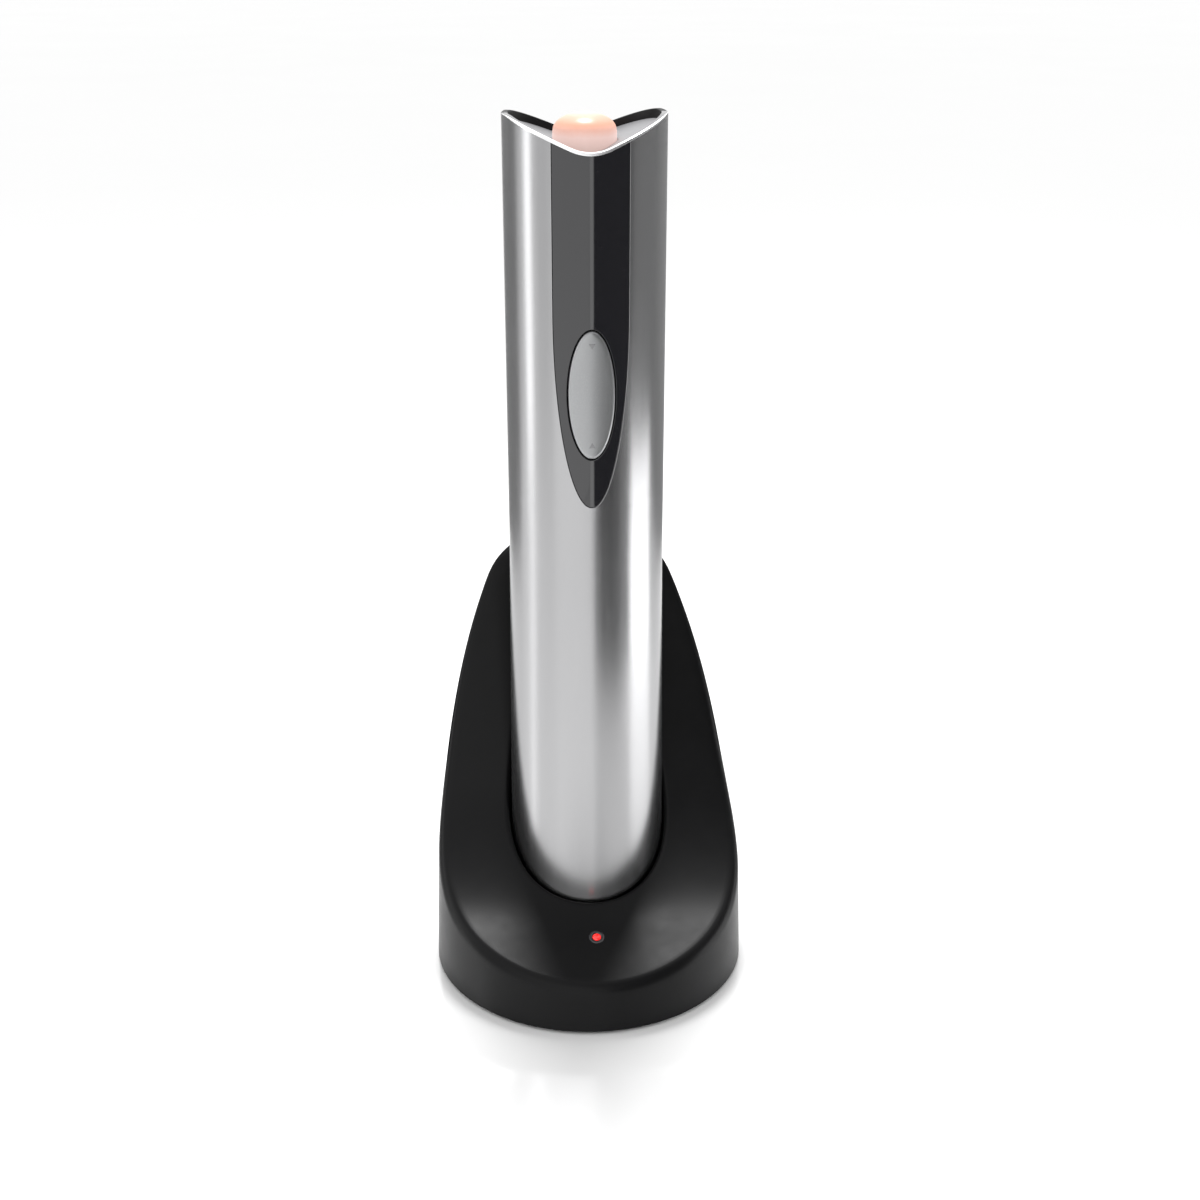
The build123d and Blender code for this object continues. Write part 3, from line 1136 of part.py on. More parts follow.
def base_shell():
    """Hollow base with its socket for the opener."""
    outer = base_outer()
    inner = base_column(BASE_WALL, BASE_SKIRT_BOTTOM - OVERLAP) & under_base_top(BASE_WALL)
    liner = bar(SOCKET_RADIUS + SOCKET_LINER, SOCKET_UNDERSIDE, FAR) & outer
    shell = (outer - inner) + liner + base_bosses(outer)
    shell -= bar(SOCKET_RADIUS, SOCKET_FLOOR_TOP, FAR)
    for side in (-1, 1):
        shell -= bar(CONTACT_RADIUS + RUNNING_GAP, 0, FAR / 4, side * WIRE_X, WIRE_Y)
        for x, y in BASE_BOSS_POINTS:
            tip = COVER_BOTTOM + BASE_SCREW_LENGTH + OVERLAP
            shell -= bar(BASE_SCREW_RADIUS + SCREW_GAP, 0, tip, side * x, y)
    shell -= led_plane() * Cylinder(BEZEL_RADIUS, 6 * BASE_WALL)
    jack_hole = bar_along_y(JACK_NOSE_RADIUS + GAP, jack_front(), FAR / 2, 0, jack_height())
    return shell - jack_hole


def base_cover():
    """Flat cover under the base, with the charging board's posts."""
    plan = base_plan(BASE_WALL + COVER_GAP)
    cover = extrude(Pos(0, 0, COVER_BOTTOM) * plan, amount=COVER_THICKNESS)
    post_x = CHARGE_BOARD_HALF_WIDTH - CHARGE_POST_INSET
    for side in (-1, 1):
        for y in (CHARGE_BOARD_FRONT + CHARGE_POST_INSET, CHARGE_BOARD_REAR - CHARGE_POST_INSET):
            cover += bar(CHARGE_POST_RADIUS, COVER_TOP, CHARGE_BOARD_BOTTOM, side * post_x, y)
        for x, y in BASE_BOSS_POINTS:
            cover -= bar(BASE_SCREW_RADIUS + SCREW_GAP, 0, FAR, side * x, y)
    return cover


def base_feet():
    """Four rubber feet."""
    feet = []
    for x, y in FOOT_POINTS:
        for side in (-1, 1):
            foot = bar(FOOT_RADIUS, 0, COVER_BOTTOM, side * x, y)
            feet.append(chamfer(foot.edges().sort_by(Axis.Z)[0], FOOT_CHAMFER))
    return Compound(feet)


def base_screws():
    """Four screws that hold the cover."""
    screws = []
    for x, y in BASE_BOSS_POINTS:
        for side in (-1, 1):
            head = bar(BASE_HEAD_RADIUS, COVER_BOTTOM - BASE_HEAD_HEIGHT, COVER_BOTTOM, side * x, y)
            shank = bar(BASE_SCREW_RADIUS, COVER_BOTTOM, COVER_BOTTOM + BASE_SCREW_LENGTH, side * x, y)
            screws.append(head + shank)
    return Compound(screws)


def charge_board():
    """Charging board under the socket."""
    return block((-CHARGE_BOARD_HALF_WIDTH, CHARGE_BOARD_HALF_WIDTH), (CHARGE_BOARD_FRONT, CHARGE_BOARD_REAR),
                 (CHARGE_BOARD_BOTTOM, CHARGE_BOARD_TOP))


def led_bezel():
    """Ring around the charging light."""
    tube = Cylinder(BEZEL_RADIUS, BEZEL_DEPTH, align=(Align.CENTER, Align.CENTER, Align.MAX))
    tube -= Cylinder(LED_RADIUS, 3 * BEZEL_DEPTH)
    tube = Pos(0, 0, BEZEL_PROUD) * tube
    return led_plane() * tube


def charge_led():
    """Round-nosed charging light."""
    body = Cylinder(LED_RADIUS, LED_LENGTH - LED_RADIUS / 2, align=(Align.CENTER, Align.CENTER, Align.MAX))
    nose = Pos(0, 0, -LED_RADIUS / 2) * Sphere(LED_RADIUS)
    nose &= Pos(0, 0, LED_LENGTH) * Box(4 * LED_RADIUS, 4 * LED_RADIUS, 2 * LED_LENGTH)
    return led_plane() * (body + nose)


def jack_height():
    """Height of the inlet's axis: the inlet stands on the charging board."""
    return CHARGE_BOARD_TOP + JACK_HEIGHT / 2


def base_back_y(z, inset=0.0):
    """Where the back wall stands at a height."""
    lean = (z - BASE_SKIRT_BOTTOM) * tan(radians(BASE_DRAFT))
    return BASE_CENTRE_Y + BASE_REAR_DEPTH - lean - inset


def jack_front():
    """The body of the inlet ends just inside the back wall."""
    return base_back_y(jack_height() + JACK_HEIGHT / 2, BASE_WALL) - 2 * COVER_GAP


def power_jack():
    """Inlet for the charger's plug: body, round nose in the back wall and centre pin."""
    z = jack_height()
    face = base_back_y(z + JACK_NOSE_RADIUS) - GAP
    body = block((-JACK_WIDTH / 2, JACK_WIDTH / 2), (jack_front() - JACK_LENGTH, jack_front()),
                 (CHARGE_BOARD_TOP, CHARGE_BOARD_TOP + JACK_HEIGHT))
    nose = bar_along_y(JACK_NOSE_RADIUS, jack_front() - OVERLAP, face, 0, z)
    jack = body + nose - bar_along_y(JACK_BORE_RADIUS, face - JACK_DEPTH, face + OVERLAP, 0, z)
    return jack + bar_along_y(JACK_PIN_RADIUS, face - JACK_DEPTH - OVERLAP, face - OVERLAP, 0, z)


def contact_pin(side):
    """Sprung contact pin that meets the opener's charging pad."""
    x = side * WIRE_X
    tip = bar(CONTACT_RADIUS, CONTACT_FLANGE_TOP, OPENER_BOTTOM, x, WIRE_Y)
    flange = bar(CONTACT_FLANGE_RADIUS, CONTACT_FLANGE_BOTTOM, CONTACT_FLANGE_TOP, x, WIRE_Y)
    stem = bar(CONTACT_STEM_RADIUS, CONTACT_FLANGE_BOTTOM - CONTACT_STEM, CONTACT_FLANGE_BOTTOM, x, WIRE_Y)
    return tip + flange + stem


def contact_spring(side):
    """Spring between the charging board and a contact pin."""
    radius = CONTACT_FLANGE_RADIUS - 2 * CONTACT_SPRING_WIRE
    spring = coil(radius, CONTACT_SPRING_WIRE, CHARGE_BOARD_TOP, CONTACT_FLANGE_BOTTOM, CONTACT_SPRING_TURNS)
    return Pos(side * WIRE_X, WIRE_Y, 0) * spring


def base_leads():
    """Two leads from the charging light back to the charging board."""
    plane = led_plane()
    level = CHARGE_BOARD_BOTTOM + CHARGE_BOARD_THICKNESS / 2
    leads = []
    for side in (-1, 1):
        x = side * LED_RADIUS / 2
        start = plane.from_local_coords((x, 0, -LED_LENGTH + LED_RADIUS / 2))
        knee = plane.from_local_coords((x, 0, -LED_LENGTH - LED_LEAD_RUN))
        route = [start, knee, (x, knee.Y, level), (x, CHARGE_BOARD_FRONT, level)]
        leads.append(wire(route, LED_LEAD_RADIUS, [LED_LEAD_BEND, WIRE_BEND]))
    return Compound(leads)


# ------------------------------------------------------------------ write every piece
def pieces():
    """Every node's name and solid."""
    found = {
        "front_shell": front_shell(), "rear_shell": rear_shell(), "housing_screws": housing_screws(),
        "front_insert": front_insert(), "rocker_button": rocker_button(), "rocker_pin": rocker_pin(),
        "main_board": main_board(), "board_screws": board_screws(), "button_switches": button_switches(),
        "top_cap": top_cap(), "lens": lens(), "lens_board": lens_board(), "lens_lamp": lens_lamp(),
        "battery_cells": battery_cells(), "battery_contacts": battery_contacts(),
        "battery_tray": battery_tray(), "motor_can": motor_can(), "motor_magnets": motor_magnets(),
        "motor_end_cap": motor_end_cap(), "motor_armature": motor_armature(), "motor_shaft": motor_shaft(),
        "motor_screws": motor_screws(), "motor_pinion": motor_pinion(), "first_carrier": first_carrier(),
        "second_sun": second_sun(), "second_carrier": second_carrier(),
        "gearbox_housing": gearbox_housing(), "gearbox_cover": gearbox_cover(),
        "output_bush": output_bush(), "gearbox_screws": gearbox_screws(), "spiral_hub": spiral_hub(),
        "spiral": spiral(), "cork_sleeve": cork_sleeve(), "lower_sleeve": lower_sleeve(),
        "neck_guide": neck_guide(), "guide_spring": guide_spring(), "bottom_collar": bottom_collar(),
        "collar_screws": collar_screws(), "charge_pads": charge_pads(), "charge_leads": charge_leads(),
        "board_leads": board_leads(),
        "base_shell": base_shell(), "base_cover": base_cover(), "base_feet": base_feet(),
        "base_screws": base_screws(), "charge_board": charge_board(), "led_bezel": led_bezel(),
        "charge_led": charge_led(), "power_jack": power_jack(), "base_leads": base_leads(),
    }
    for index in range(PLANET_COUNT):
        found[f"first_planet_{index + 1}"] = planet(index, FIRST_PLANET_Z)
        found[f"second_planet_{index + 1}"] = planet(index, SECOND_PLANET_Z)
    for name, side in (("left", -1), ("right", 1)):
        found[f"contact_pin_{name}"] = contact_pin(side)
        found[f"contact_spring_{name}"] = contact_spring(side)
    return found


os.makedirs("parts", exist_ok=True)
for node, solid in pieces().items():
    export_step(Pos(0, AXIS_Y, 0) * solid, f"parts/{node}.step")
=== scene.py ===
import logging
from dataclasses import dataclass, field
from enum import Enum
from math import asin, atan2, cos, pi, radians, sin, sqrt, tan
from typing import Callable, Iterable, Sequence

import bmesh
import bpy
from mathutils import Matrix, Vector


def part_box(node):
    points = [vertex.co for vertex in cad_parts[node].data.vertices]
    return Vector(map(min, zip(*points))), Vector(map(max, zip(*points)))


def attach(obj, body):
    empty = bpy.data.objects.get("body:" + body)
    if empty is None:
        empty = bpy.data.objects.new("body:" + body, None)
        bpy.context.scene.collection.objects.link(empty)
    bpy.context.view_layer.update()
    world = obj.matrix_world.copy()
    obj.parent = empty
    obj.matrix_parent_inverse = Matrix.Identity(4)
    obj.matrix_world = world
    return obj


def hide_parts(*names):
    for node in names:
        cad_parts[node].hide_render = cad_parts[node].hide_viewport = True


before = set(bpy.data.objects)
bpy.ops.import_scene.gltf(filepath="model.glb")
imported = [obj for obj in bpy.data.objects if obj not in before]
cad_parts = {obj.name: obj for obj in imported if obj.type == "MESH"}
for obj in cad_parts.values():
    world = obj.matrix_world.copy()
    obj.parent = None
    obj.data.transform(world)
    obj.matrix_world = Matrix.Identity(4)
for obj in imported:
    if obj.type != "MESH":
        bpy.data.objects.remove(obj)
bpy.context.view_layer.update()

log = logging.getLogger("wine_opener")
logging.basicConfig(level=logging.INFO, format="%(name)s: %(message)s")

MM = 0.001
TUBE_RADIUS = 25.4
INSERT_HALF_WIDTH = 11.65
INSERT_BEND = 235.0
INSERT_DROP = 61.5
INSERT_GAP = 0.12
BUTTON_HALF_WIDTH = 7.25
BUTTON_HALF_HEIGHT = 20.3
BUTTON_GAP = 0.45
MERGE = 1e-4
AXIS_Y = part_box("motor_shaft")[0].y / 2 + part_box("motor_shaft")[1].y / 2
Colour = tuple[float, float, float]
Loop = Sequence[Vector]


class Body(Enum):
    """The moving bodies that a piece can ride on."""

    BASE = "base"
    OPENER = "opener"
    ROCKER = "rocker"


class Grain(Enum):
    """The way that a finish's fine marks run, as a stretch along X, Y and Z."""

    ALL_ROUND = (1.0, 1.0, 1.0)
    UPRIGHT = (1.0, 1.0, 0.012)
    LEVEL = (0.08, 0.08, 1.0)


# ---------------------------------------------------------------- shader tools
class Tone:
    """A shader socket that takes part in sums with numbers and other tones."""

    def __init__(self, dress: "Dress", socket: bpy.types.NodeSocket) -> None:
        """Keep the material being dressed and the socket.

        Args:
            dress: the material that the socket belongs to.
            socket: an output socket that carries a number.
        """
        self.dress = dress
        self.socket = socket

    @staticmethod
    def _operator(operation: str, reflected: bool = False) -> "Callable[[Tone, object], Tone]":
        """Make the method for one operator.

        Args:
            operation: the Math node's operation.
            reflected: whether the tone is the second of the two.

        Returns:
            A method that adds one Math node and gives back its result.
        """
        def method(self: "Tone", other: object) -> "Tone":
            """Add the Math node."""
            pair = (other, self) if reflected else (self, other)
            return self.dress.node("ShaderNodeMath", {"operation": operation}, dict(enumerate(pair)))

        return method

    __add__ = _operator("ADD")
    __radd__ = _operator("ADD", True)
    __sub__ = _operator("SUBTRACT")
    __rsub__ = _operator("SUBTRACT", True)
    __mul__ = _operator("MULTIPLY")
    __rmul__ = _operator("MULTIPLY", True)
    __truediv__ = _operator("DIVIDE")
    __rtruediv__ = _operator("DIVIDE", True)
    __gt__ = _operator("GREATER_THAN")
    __lt__ = _operator("LESS_THAN")


class Dress:
    """One material: a Principled shader and the nodes that feed it."""

    def __init__(self, name: str) -> None:
        """Make the material with its shader and Object coordinates.

        Args:
            name: the material's name.
        """
        self.material = bpy.data.materials.new(name)
        self.material.use_nodes = True
        self.tree = self.material.node_tree
        self.shader = self.tree.nodes["Principled BSDF"]
        self.place = self.node("ShaderNodeTexCoord", {}, {}, "Object")

    def node(self, kind: str, settings: dict[str, object], inputs: dict[int | str, object],
             output: int | str = 0) -> Tone:
        """Make any node.

        Args:
            kind: the node's type.
            settings: its settings; "stops" holds a ramp's (place, colour) pairs.
            inputs: values or tones for its sockets, by name or number.
            output: which of its outputs to give back.

        Returns:
            The chosen output.
        """
        made = self.tree.nodes.new(kind)
        for key, value in settings.items():
            if key == "stops":
                self._set_stops(made.color_ramp, value)
            else:
                setattr(made, key, value)
        for key, value in inputs.items():
            self._feed(made.inputs[key], value)
        return Tone(self, made.outputs[output])

    @staticmethod
    def _set_stops(ramp: bpy.types.ColorRamp, stops: Sequence[tuple[float, Colour]]) -> None:
        """Give a ramp its stops.

        Args:
            ramp: the ramp.
            stops: its places and colours, in order.
        """
        while len(ramp.elements) < len(stops):
            ramp.elements.new(1.0)
        for element, (place, colour) in zip(ramp.elements, stops):
            element.position = place
            element.color = (*colour, 1.0)

    def _feed(self, socket: bpy.types.NodeSocket, value: object) -> None:
        """Link a tone to a socket, or set a plain value on it."""
        if isinstance(value, Tone):
            self.tree.links.new(value.socket, socket)
        else:
            socket.default_value = value

    def set(self, **values: object) -> None:
        """Set or feed the shader's sockets.

        Args:
            values: socket names with underscores for spaces, and their values.
        """
        for key, value in values.items():
            self._feed(self.shader.inputs[key.replace("_", " ")], value)

    def stretched(self, grain: Grain) -> Tone:
        """Object coordinates stretched along a grain."""
        return self.node("ShaderNodeMapping", {}, {"Vector": self.place, "Scale": grain.value})

    def noise(self, where: Tone, size: float, detail: float = 3.0, roughness: float = 0.55) -> Tone:
        """A noise pattern.

        Args:
            where: coordinates.
            size: the size of its spots, in metres.
            detail: how many finer layers it has.
            roughness: how strong they are.

        Returns:
            A number about a half.
        """
        return self.node("ShaderNodeTexNoise", {}, {"Vector": where, "Scale": 1 / size, "Detail": detail,
                                                    "Roughness": roughness})

    def mix(self, factor: Tone | float, first: object, second: object) -> Tone:
        """Mix two colours.

        Args:
            factor: nought gives the first and one the second.
            first: a colour or tone.
            second: a colour or tone.

        Returns:
            The mixed colour.
        """
        given = [(*c, 1.0) if isinstance(c, tuple) else c for c in (first, second)]
        return self.node("ShaderNodeMix", {"data_type": "RGBA"}, {0: factor, 6: given[0], 7: given[1]}, 2)

    def bump(self, height: Tone, depth: float, strength: float = 1.0) -> Tone:
        """A bump of a given depth in metres."""
        return self.node("ShaderNodeBump", {}, {"Height": height, "Distance": depth, "Strength": strength})

    def coordinate(self, index: int) -> Tone:
        """One of the Object coordinates: 0, 1 or 2 for X, Y or Z."""
        return self.node("ShaderNodeSeparateXYZ", {}, {0: self.place}, index)


# ---------------------------------------------------------------- finishes
@dataclass(frozen=True)
class Finish:
    """What every finish has."""

    name: str
    colour: Colour
    roughness: float = 0.4

    def material(self) -> bpy.types.Material:
        """Make the material once and give it back afterwards.

        Returns:
            The finished material.
        """
        known = bpy.data.materials.get(self.name)
        if known is not None:
            return known
        dress = Dress(self.name)
        self.paint(dress)
        return dress.material

    def paint(self, dress: Dress) -> None:
        """Feed the shader.

        Args:
            dress: the material being made.
        """
        raise NotImplementedError

    def shade(self, factor: float) -> Colour:
        """This finish's colour made lighter or darker."""
        return tuple(min(channel * factor, 1.0) for channel in self.colour)


@dataclass(frozen=True)
class BrushedMetal(Finish):
    """Metal with fine lengthways brush lines, faint cloudiness and a few deeper scratches."""

    line: float = 0.00016
    depth: float = 0.000012
    contrast: float = 0.06
    grain: Grain = Grain.UPRIGHT

    def paint(self, dress: Dress) -> None:
        """Brush lines drive the colour, the roughness and the bump."""
        along = dress.stretched(self.grain)
        fine = dress.noise(along, self.line, 4.0, 0.7)
        broad = dress.noise(along, self.line * 9, 2.0)
        cloud = dress.noise(dress.place, 0.03, 2.0)
        scratch = dress.noise(along, self.line * 3.1, 1.0) > 0.71
        lines = fine * 0.7 + broad * 0.3
        tint = dress.mix(lines, self.shade(1 - self.contrast), self.shade(1 + self.contrast))
        worn = dress.mix(scratch * 0.25, tint, self.shade(1.15))
        rough = self.roughness + (lines - 0.5) * 0.16 + (cloud - 0.5) * 0.05
        dress.set(Base_Color=worn, Metallic=1.0, Roughness=rough, Normal=dress.bump(lines, self.depth, 0.6))


@dataclass(frozen=True)
class MouldedPlastic(Finish):
    """Moulded plastic with a fine eroded texture and slow unevenness."""

    texture: float = 0.00045
    depth: float = 0.00002
    coat: float = 0.0
    ior: float = 1.5

    def paint(self, dress: Dress) -> None:
        """A stipple bump, a slow wave and rubbed spots."""
        stipple = dress.noise(dress.place, self.texture, 3.0, 0.6)
        slow = dress.noise(dress.place, 0.018, 2.0)
        rubbed = dress.noise(dress.place, 0.006, 4.0)
        tint = dress.mix(slow, self.shade(0.85), self.shade(1.2))
        rough = self.roughness + (slow - 0.5) * 0.1 + (rubbed - 0.5) * 0.08 + (stipple - 0.5) * 0.06
        dress.set(Base_Color=tint, Roughness=rough, Normal=dress.bump(stipple, self.depth, 0.5),
                  IOR=self.ior, Coat_Weight=self.coat, Coat_Roughness=0.18)


@dataclass(frozen=True)
class PolishedPlastic(Finish):
    """High-gloss plastic with a slight wave, fine hairlines and a little dust."""

    wave: float = 0.02
    depth: float = 0.00001

    def paint(self, dress: Dress) -> None:
        """A slow wave in the surface and hairlines in the gloss."""
        slow = dress.noise(dress.place, self.wave, 1.0)
        hair = dress.noise(dress.stretched(Grain.UPRIGHT), 0.0006, 2.0) > 0.74
        dust = dress.noise(dress.place, 0.0005, 1.0) > 0.79
        tint = dress.mix(dust * 0.12, self.shade(1.0), (0.35, 0.35, 0.36))
        rough = self.roughness + hair * 0.03 + dust * 0.2
        dress.set(Base_Color=tint, Roughness=rough, Normal=dress.bump(slow, self.depth, 0.4), IOR=1.52,
                  Coat_Weight=0.6, Coat_Roughness=0.03)


@dataclass(frozen=True)
class SatinPaint(Finish):
    """Silver paint: fine metal flakes under a satin lacquer."""

    flake: float = 0.00022
    metallic: float = 0.85

    def paint(self, dress: Dress) -> None:
        """Flakes lighten the colour and break up the gloss."""
        flakes = dress.node("ShaderNodeTexVoronoi", {}, {"Vector": dress.place, "Scale": 1 / self.flake})
        peel = dress.noise(dress.place, 0.0014, 2.0)
        cloud = dress.noise(dress.place, 0.012, 2.0)
        tint = dress.mix(flakes, self.shade(0.88), self.shade(1.1))
        rough = self.roughness + (flakes - 0.5) * 0.08 + (cloud - 0.5) * 0.08
        dress.set(Base_Color=tint, Metallic=self.metallic, Roughness=rough,
                  Normal=dress.bump(peel, 0.00001, 0.5), Coat_Weight=0.3, Coat_Roughness=0.2)


@dataclass(frozen=True)
class GlowingLens(Finish):
    """Frosted lens, brightest over its lamp and cooler at its skirt."""

    low: float = 0.28
    high: float = 0.292
    glow: float = 0.62
    body: float = 0.3

    def paint(self, dress: Dress) -> None:
        """The glow runs from the skirt to the crown, with a soft mottle in the frosting."""
        height = (dress.coordinate(2) - self.low) / (self.high - self.low)
        mottle = dress.noise(dress.place, 0.0012, 3.0)
        level = height + (mottle - 0.5) * 0.08
        stops = ((0.0, (0.75, 0.55, 0.5)), (0.45, (1.0, 0.72, 0.66)), (0.75, (1.0, 0.5, 0.36)),
                 (0.92, (1.0, 0.62, 0.48)), (1.0, (1.0, 0.78, 0.66)))
        tint = dress.node("ShaderNodeValToRGB", {"stops": stops}, {0: level})
        base = dress.mix(self.body, (0.0, 0.0, 0.0), tint)
        dress.set(Base_Color=base, Emission_Color=tint, Emission_Strength=self.glow,
                  Roughness=self.roughness + (mottle - 0.5) * 0.1, Normal=dress.bump(mottle, 0.00001, 0.3),
                  Specular_IOR_Level=0.2)


@dataclass(frozen=True)
class SignalLight(Finish):
    """Small coloured light: a bright core in a tinted lens."""

    glow: float = 1.2

    def paint(self, dress: Dress) -> None:
        """Speckle from the cast resin."""
        speck = dress.noise(dress.place, 0.0004, 2.0)
        tint = dress.mix(speck, self.shade(0.8), self.shade(1.3))
        dress.set(Base_Color=tint, Emission_Color=tint, Emission_Strength=self.glow,
                  Roughness=self.roughness + (speck - 0.5) * 0.1, Coat_Weight=1.0, Coat_Roughness=0.04)


@dataclass(frozen=True)
class CircuitBoard(Finish):
    """Solder mask with tracks under it and plated dots."""

    pitch: float = 0.0026

    def paint(self, dress: Dress) -> None:
        """A brick pattern stands for the tracks, and cell centres for the pads."""
        tracks = dress.node("ShaderNodeTexBrick", {}, {"Vector": dress.place, "Scale": 1 / self.pitch,
                                                       "Mortar Size": 0.06, "Row Height": 0.6}, "Fac")
        dots = dress.node("ShaderNodeTexVoronoi", {}, {"Vector": dress.place, "Scale": 0.7 / self.pitch}) < 0.12
        tint = dress.mix(tracks, self.shade(0.8), self.shade(1.7))
        tint = dress.mix(dots, tint, (0.7, 0.68, 0.62))
        dress.set(Base_Color=tint, Roughness=self.roughness + dots * 0.1,
                  Normal=dress.bump(tracks + dots, 0.00003, 0.6), Coat_Weight=0.4)


@dataclass(frozen=True)
class StagePaint(Finish):
    """Smooth paint of the floor and of the studio's cards, with a slight cloudiness."""

    spot: float = 0.1
    low: float = 0.9
    high: float = 1.1
    unevenness: float = 0.0
    metallic: float = 0.0
    ior: float = 1.5

    def paint(self, dress: Dress) -> None:
        """Clouds in the colour and the gloss."""
        cloud = dress.noise(dress.place, self.spot, 2.0)
        dress.set(Base_Color=dress.mix(cloud, self.shade(self.low), self.shade(self.high)), IOR=self.ior,
                  Roughness=self.roughness + (cloud - 0.5) * self.unevenness, Metallic=self.metallic)


TUBE_METAL = BrushedMetal("brushed_tube_metal", (0.37, 0.37, 0.375), 0.24)
# Pale metal for the rim strip, far paler than the tube's metal: a painted highlight along the front rim.
RIM_PAINTED_HIGHLIGHT = BrushedMetal("rim_painted_highlight_metal", (0.86, 0.86, 0.87), 0.4)
BRIGHT_STEEL = BrushedMetal("bright_steel", (0.66, 0.66, 0.66), 0.25, 0.0004, grain=Grain.ALL_ROUND)
MOTOR_STEEL = BrushedMetal("drawn_motor_steel", (0.5, 0.5, 0.51), 0.35, 0.0005, grain=Grain.LEVEL)
SPIRAL_STEEL = BrushedMetal("coated_spiral_steel", (0.3, 0.3, 0.32), 0.3, 0.0005, grain=Grain.ALL_ROUND)
PLATED_BRASS = BrushedMetal("plated_brass", (0.8, 0.62, 0.3), 0.25, 0.0004, grain=Grain.ALL_ROUND)
BUSH_BRONZE = BrushedMetal("sintered_bronze", (0.5, 0.32, 0.16), 0.5, 0.0003, grain=Grain.ALL_ROUND)
IRON = BrushedMetal("stacked_iron", (0.2, 0.19, 0.18), 0.5, 0.0005, contrast=0.2, grain=Grain.LEVEL)
MAGNET = MouldedPlastic("sintered_magnet", (0.05, 0.05, 0.052), 0.6)
BASE_BLACK = MouldedPlastic("satin_black_base", (0.004, 0.004, 0.0043), 0.33, 0.0005, 0.000012, ior=1.24)
BACK_BLACK = MouldedPlastic("satin_black_back", (0.006, 0.006, 0.0065), 0.4, 0.0005, 0.00002, ior=1.3)
INNER_GREY = MouldedPlastic("glass_filled_grey", (0.07, 0.07, 0.075), 0.5)
TRAY_GREY = MouldedPlastic("tray_grey", (0.045, 0.045, 0.048), 0.5)
GUIDE_BLACK = MouldedPlastic("guide_black", (0.03, 0.03, 0.032), 0.34)
NYLON = MouldedPlastic("natural_nylon", (0.72, 0.69, 0.6), 0.45)
SWITCH_BLACK = MouldedPlastic("switch_black", (0.02, 0.02, 0.02), 0.5)
RUBBER = MouldedPlastic("foot_rubber", (0.02, 0.02, 0.02), 0.75, 0.0007, 0.00005)
LEAD_RED = MouldedPlastic("red_lead_insulation", (0.4, 0.02, 0.02), 0.4)
LEAD_BLACK = MouldedPlastic("black_lead_insulation", (0.015, 0.015, 0.015), 0.4)
MARK_GREY = MouldedPlastic("button_mark_grey", (0.2, 0.2, 0.205), 0.4)
CELL_BLUE = PolishedPlastic("cell_sleeve_blue", (0.03, 0.16, 0.4), 0.2)
GLOSS_BLACK = PolishedPlastic("gloss_black_insert", (0.006, 0.006, 0.008), 0.07)
SILVER_BUTTON = SatinPaint("silver_button_paint", (0.32, 0.325, 0.33), 0.36)
SILVER_CAP = SatinPaint("silver_cap_paint", (0.3, 0.3, 0.31), 0.45)
LENS_GLOW = GlowingLens("frosted_dome", (0.95, 0.88, 0.86), 0.3)
LAMP = SignalLight("warm_lamp", (1.0, 0.7, 0.45), 0.3)
LED_RED = SignalLight("charging_light_red", (0.75, 0.01, 0.008), 0.15)
BOARD_GREEN = CircuitBoard("board_solder_mask", (0.01, 0.12, 0.05), 0.35)
FLOOR_WHITE = StagePaint("pale_floor", (0.97, 0.97, 0.97), 0.14, 0.4, 0.985, 1.0, 0.02, 0.22, 1.45)

NODE_FINISHES: dict[Finish, tuple[str, ...]] = {
    BRIGHT_STEEL: ("housing_screws", "rocker_pin", "board_screws", "motor_shaft", "motor_screws",
                   "second_carrier", "gearbox_screws", "spiral_hub", "guide_spring", "collar_screws",
                   "base_screws", "contact_spring_left", "contact_spring_right"),
    MOTOR_STEEL: ("motor_can",),
    SPIRAL_STEEL: ("spiral",),
    PLATED_BRASS: ("battery_contacts", "motor_pinion", "charge_pads", "contact_pin_left",
                   "contact_pin_right"),
    BUSH_BRONZE: ("output_bush",),
    IRON: ("motor_armature",),
    MAGNET: ("motor_magnets",),
    BACK_BLACK: ("bottom_collar",),
    INNER_GREY: ("gearbox_housing", "gearbox_cover"),
    TRAY_GREY: ("battery_tray", "base_cover"),
    GUIDE_BLACK: ("cork_sleeve", "lower_sleeve", "neck_guide"),
    NYLON: ("first_carrier", "second_sun",
            *(f"{stage}_planet_{number}" for stage in ("first", "second") for number in (1, 2, 3))),
    SWITCH_BLACK: ("button_switches", "motor_end_cap", "power_jack"),
    LEAD_RED: ("charge_leads", "base_leads"),
    LEAD_BLACK: ("board_leads",),
    CELL_BLUE: ("battery_cells",),
    LAMP: ("lens_lamp",),
    BOARD_GREEN: ("main_board", "lens_board", "charge_board"),
}


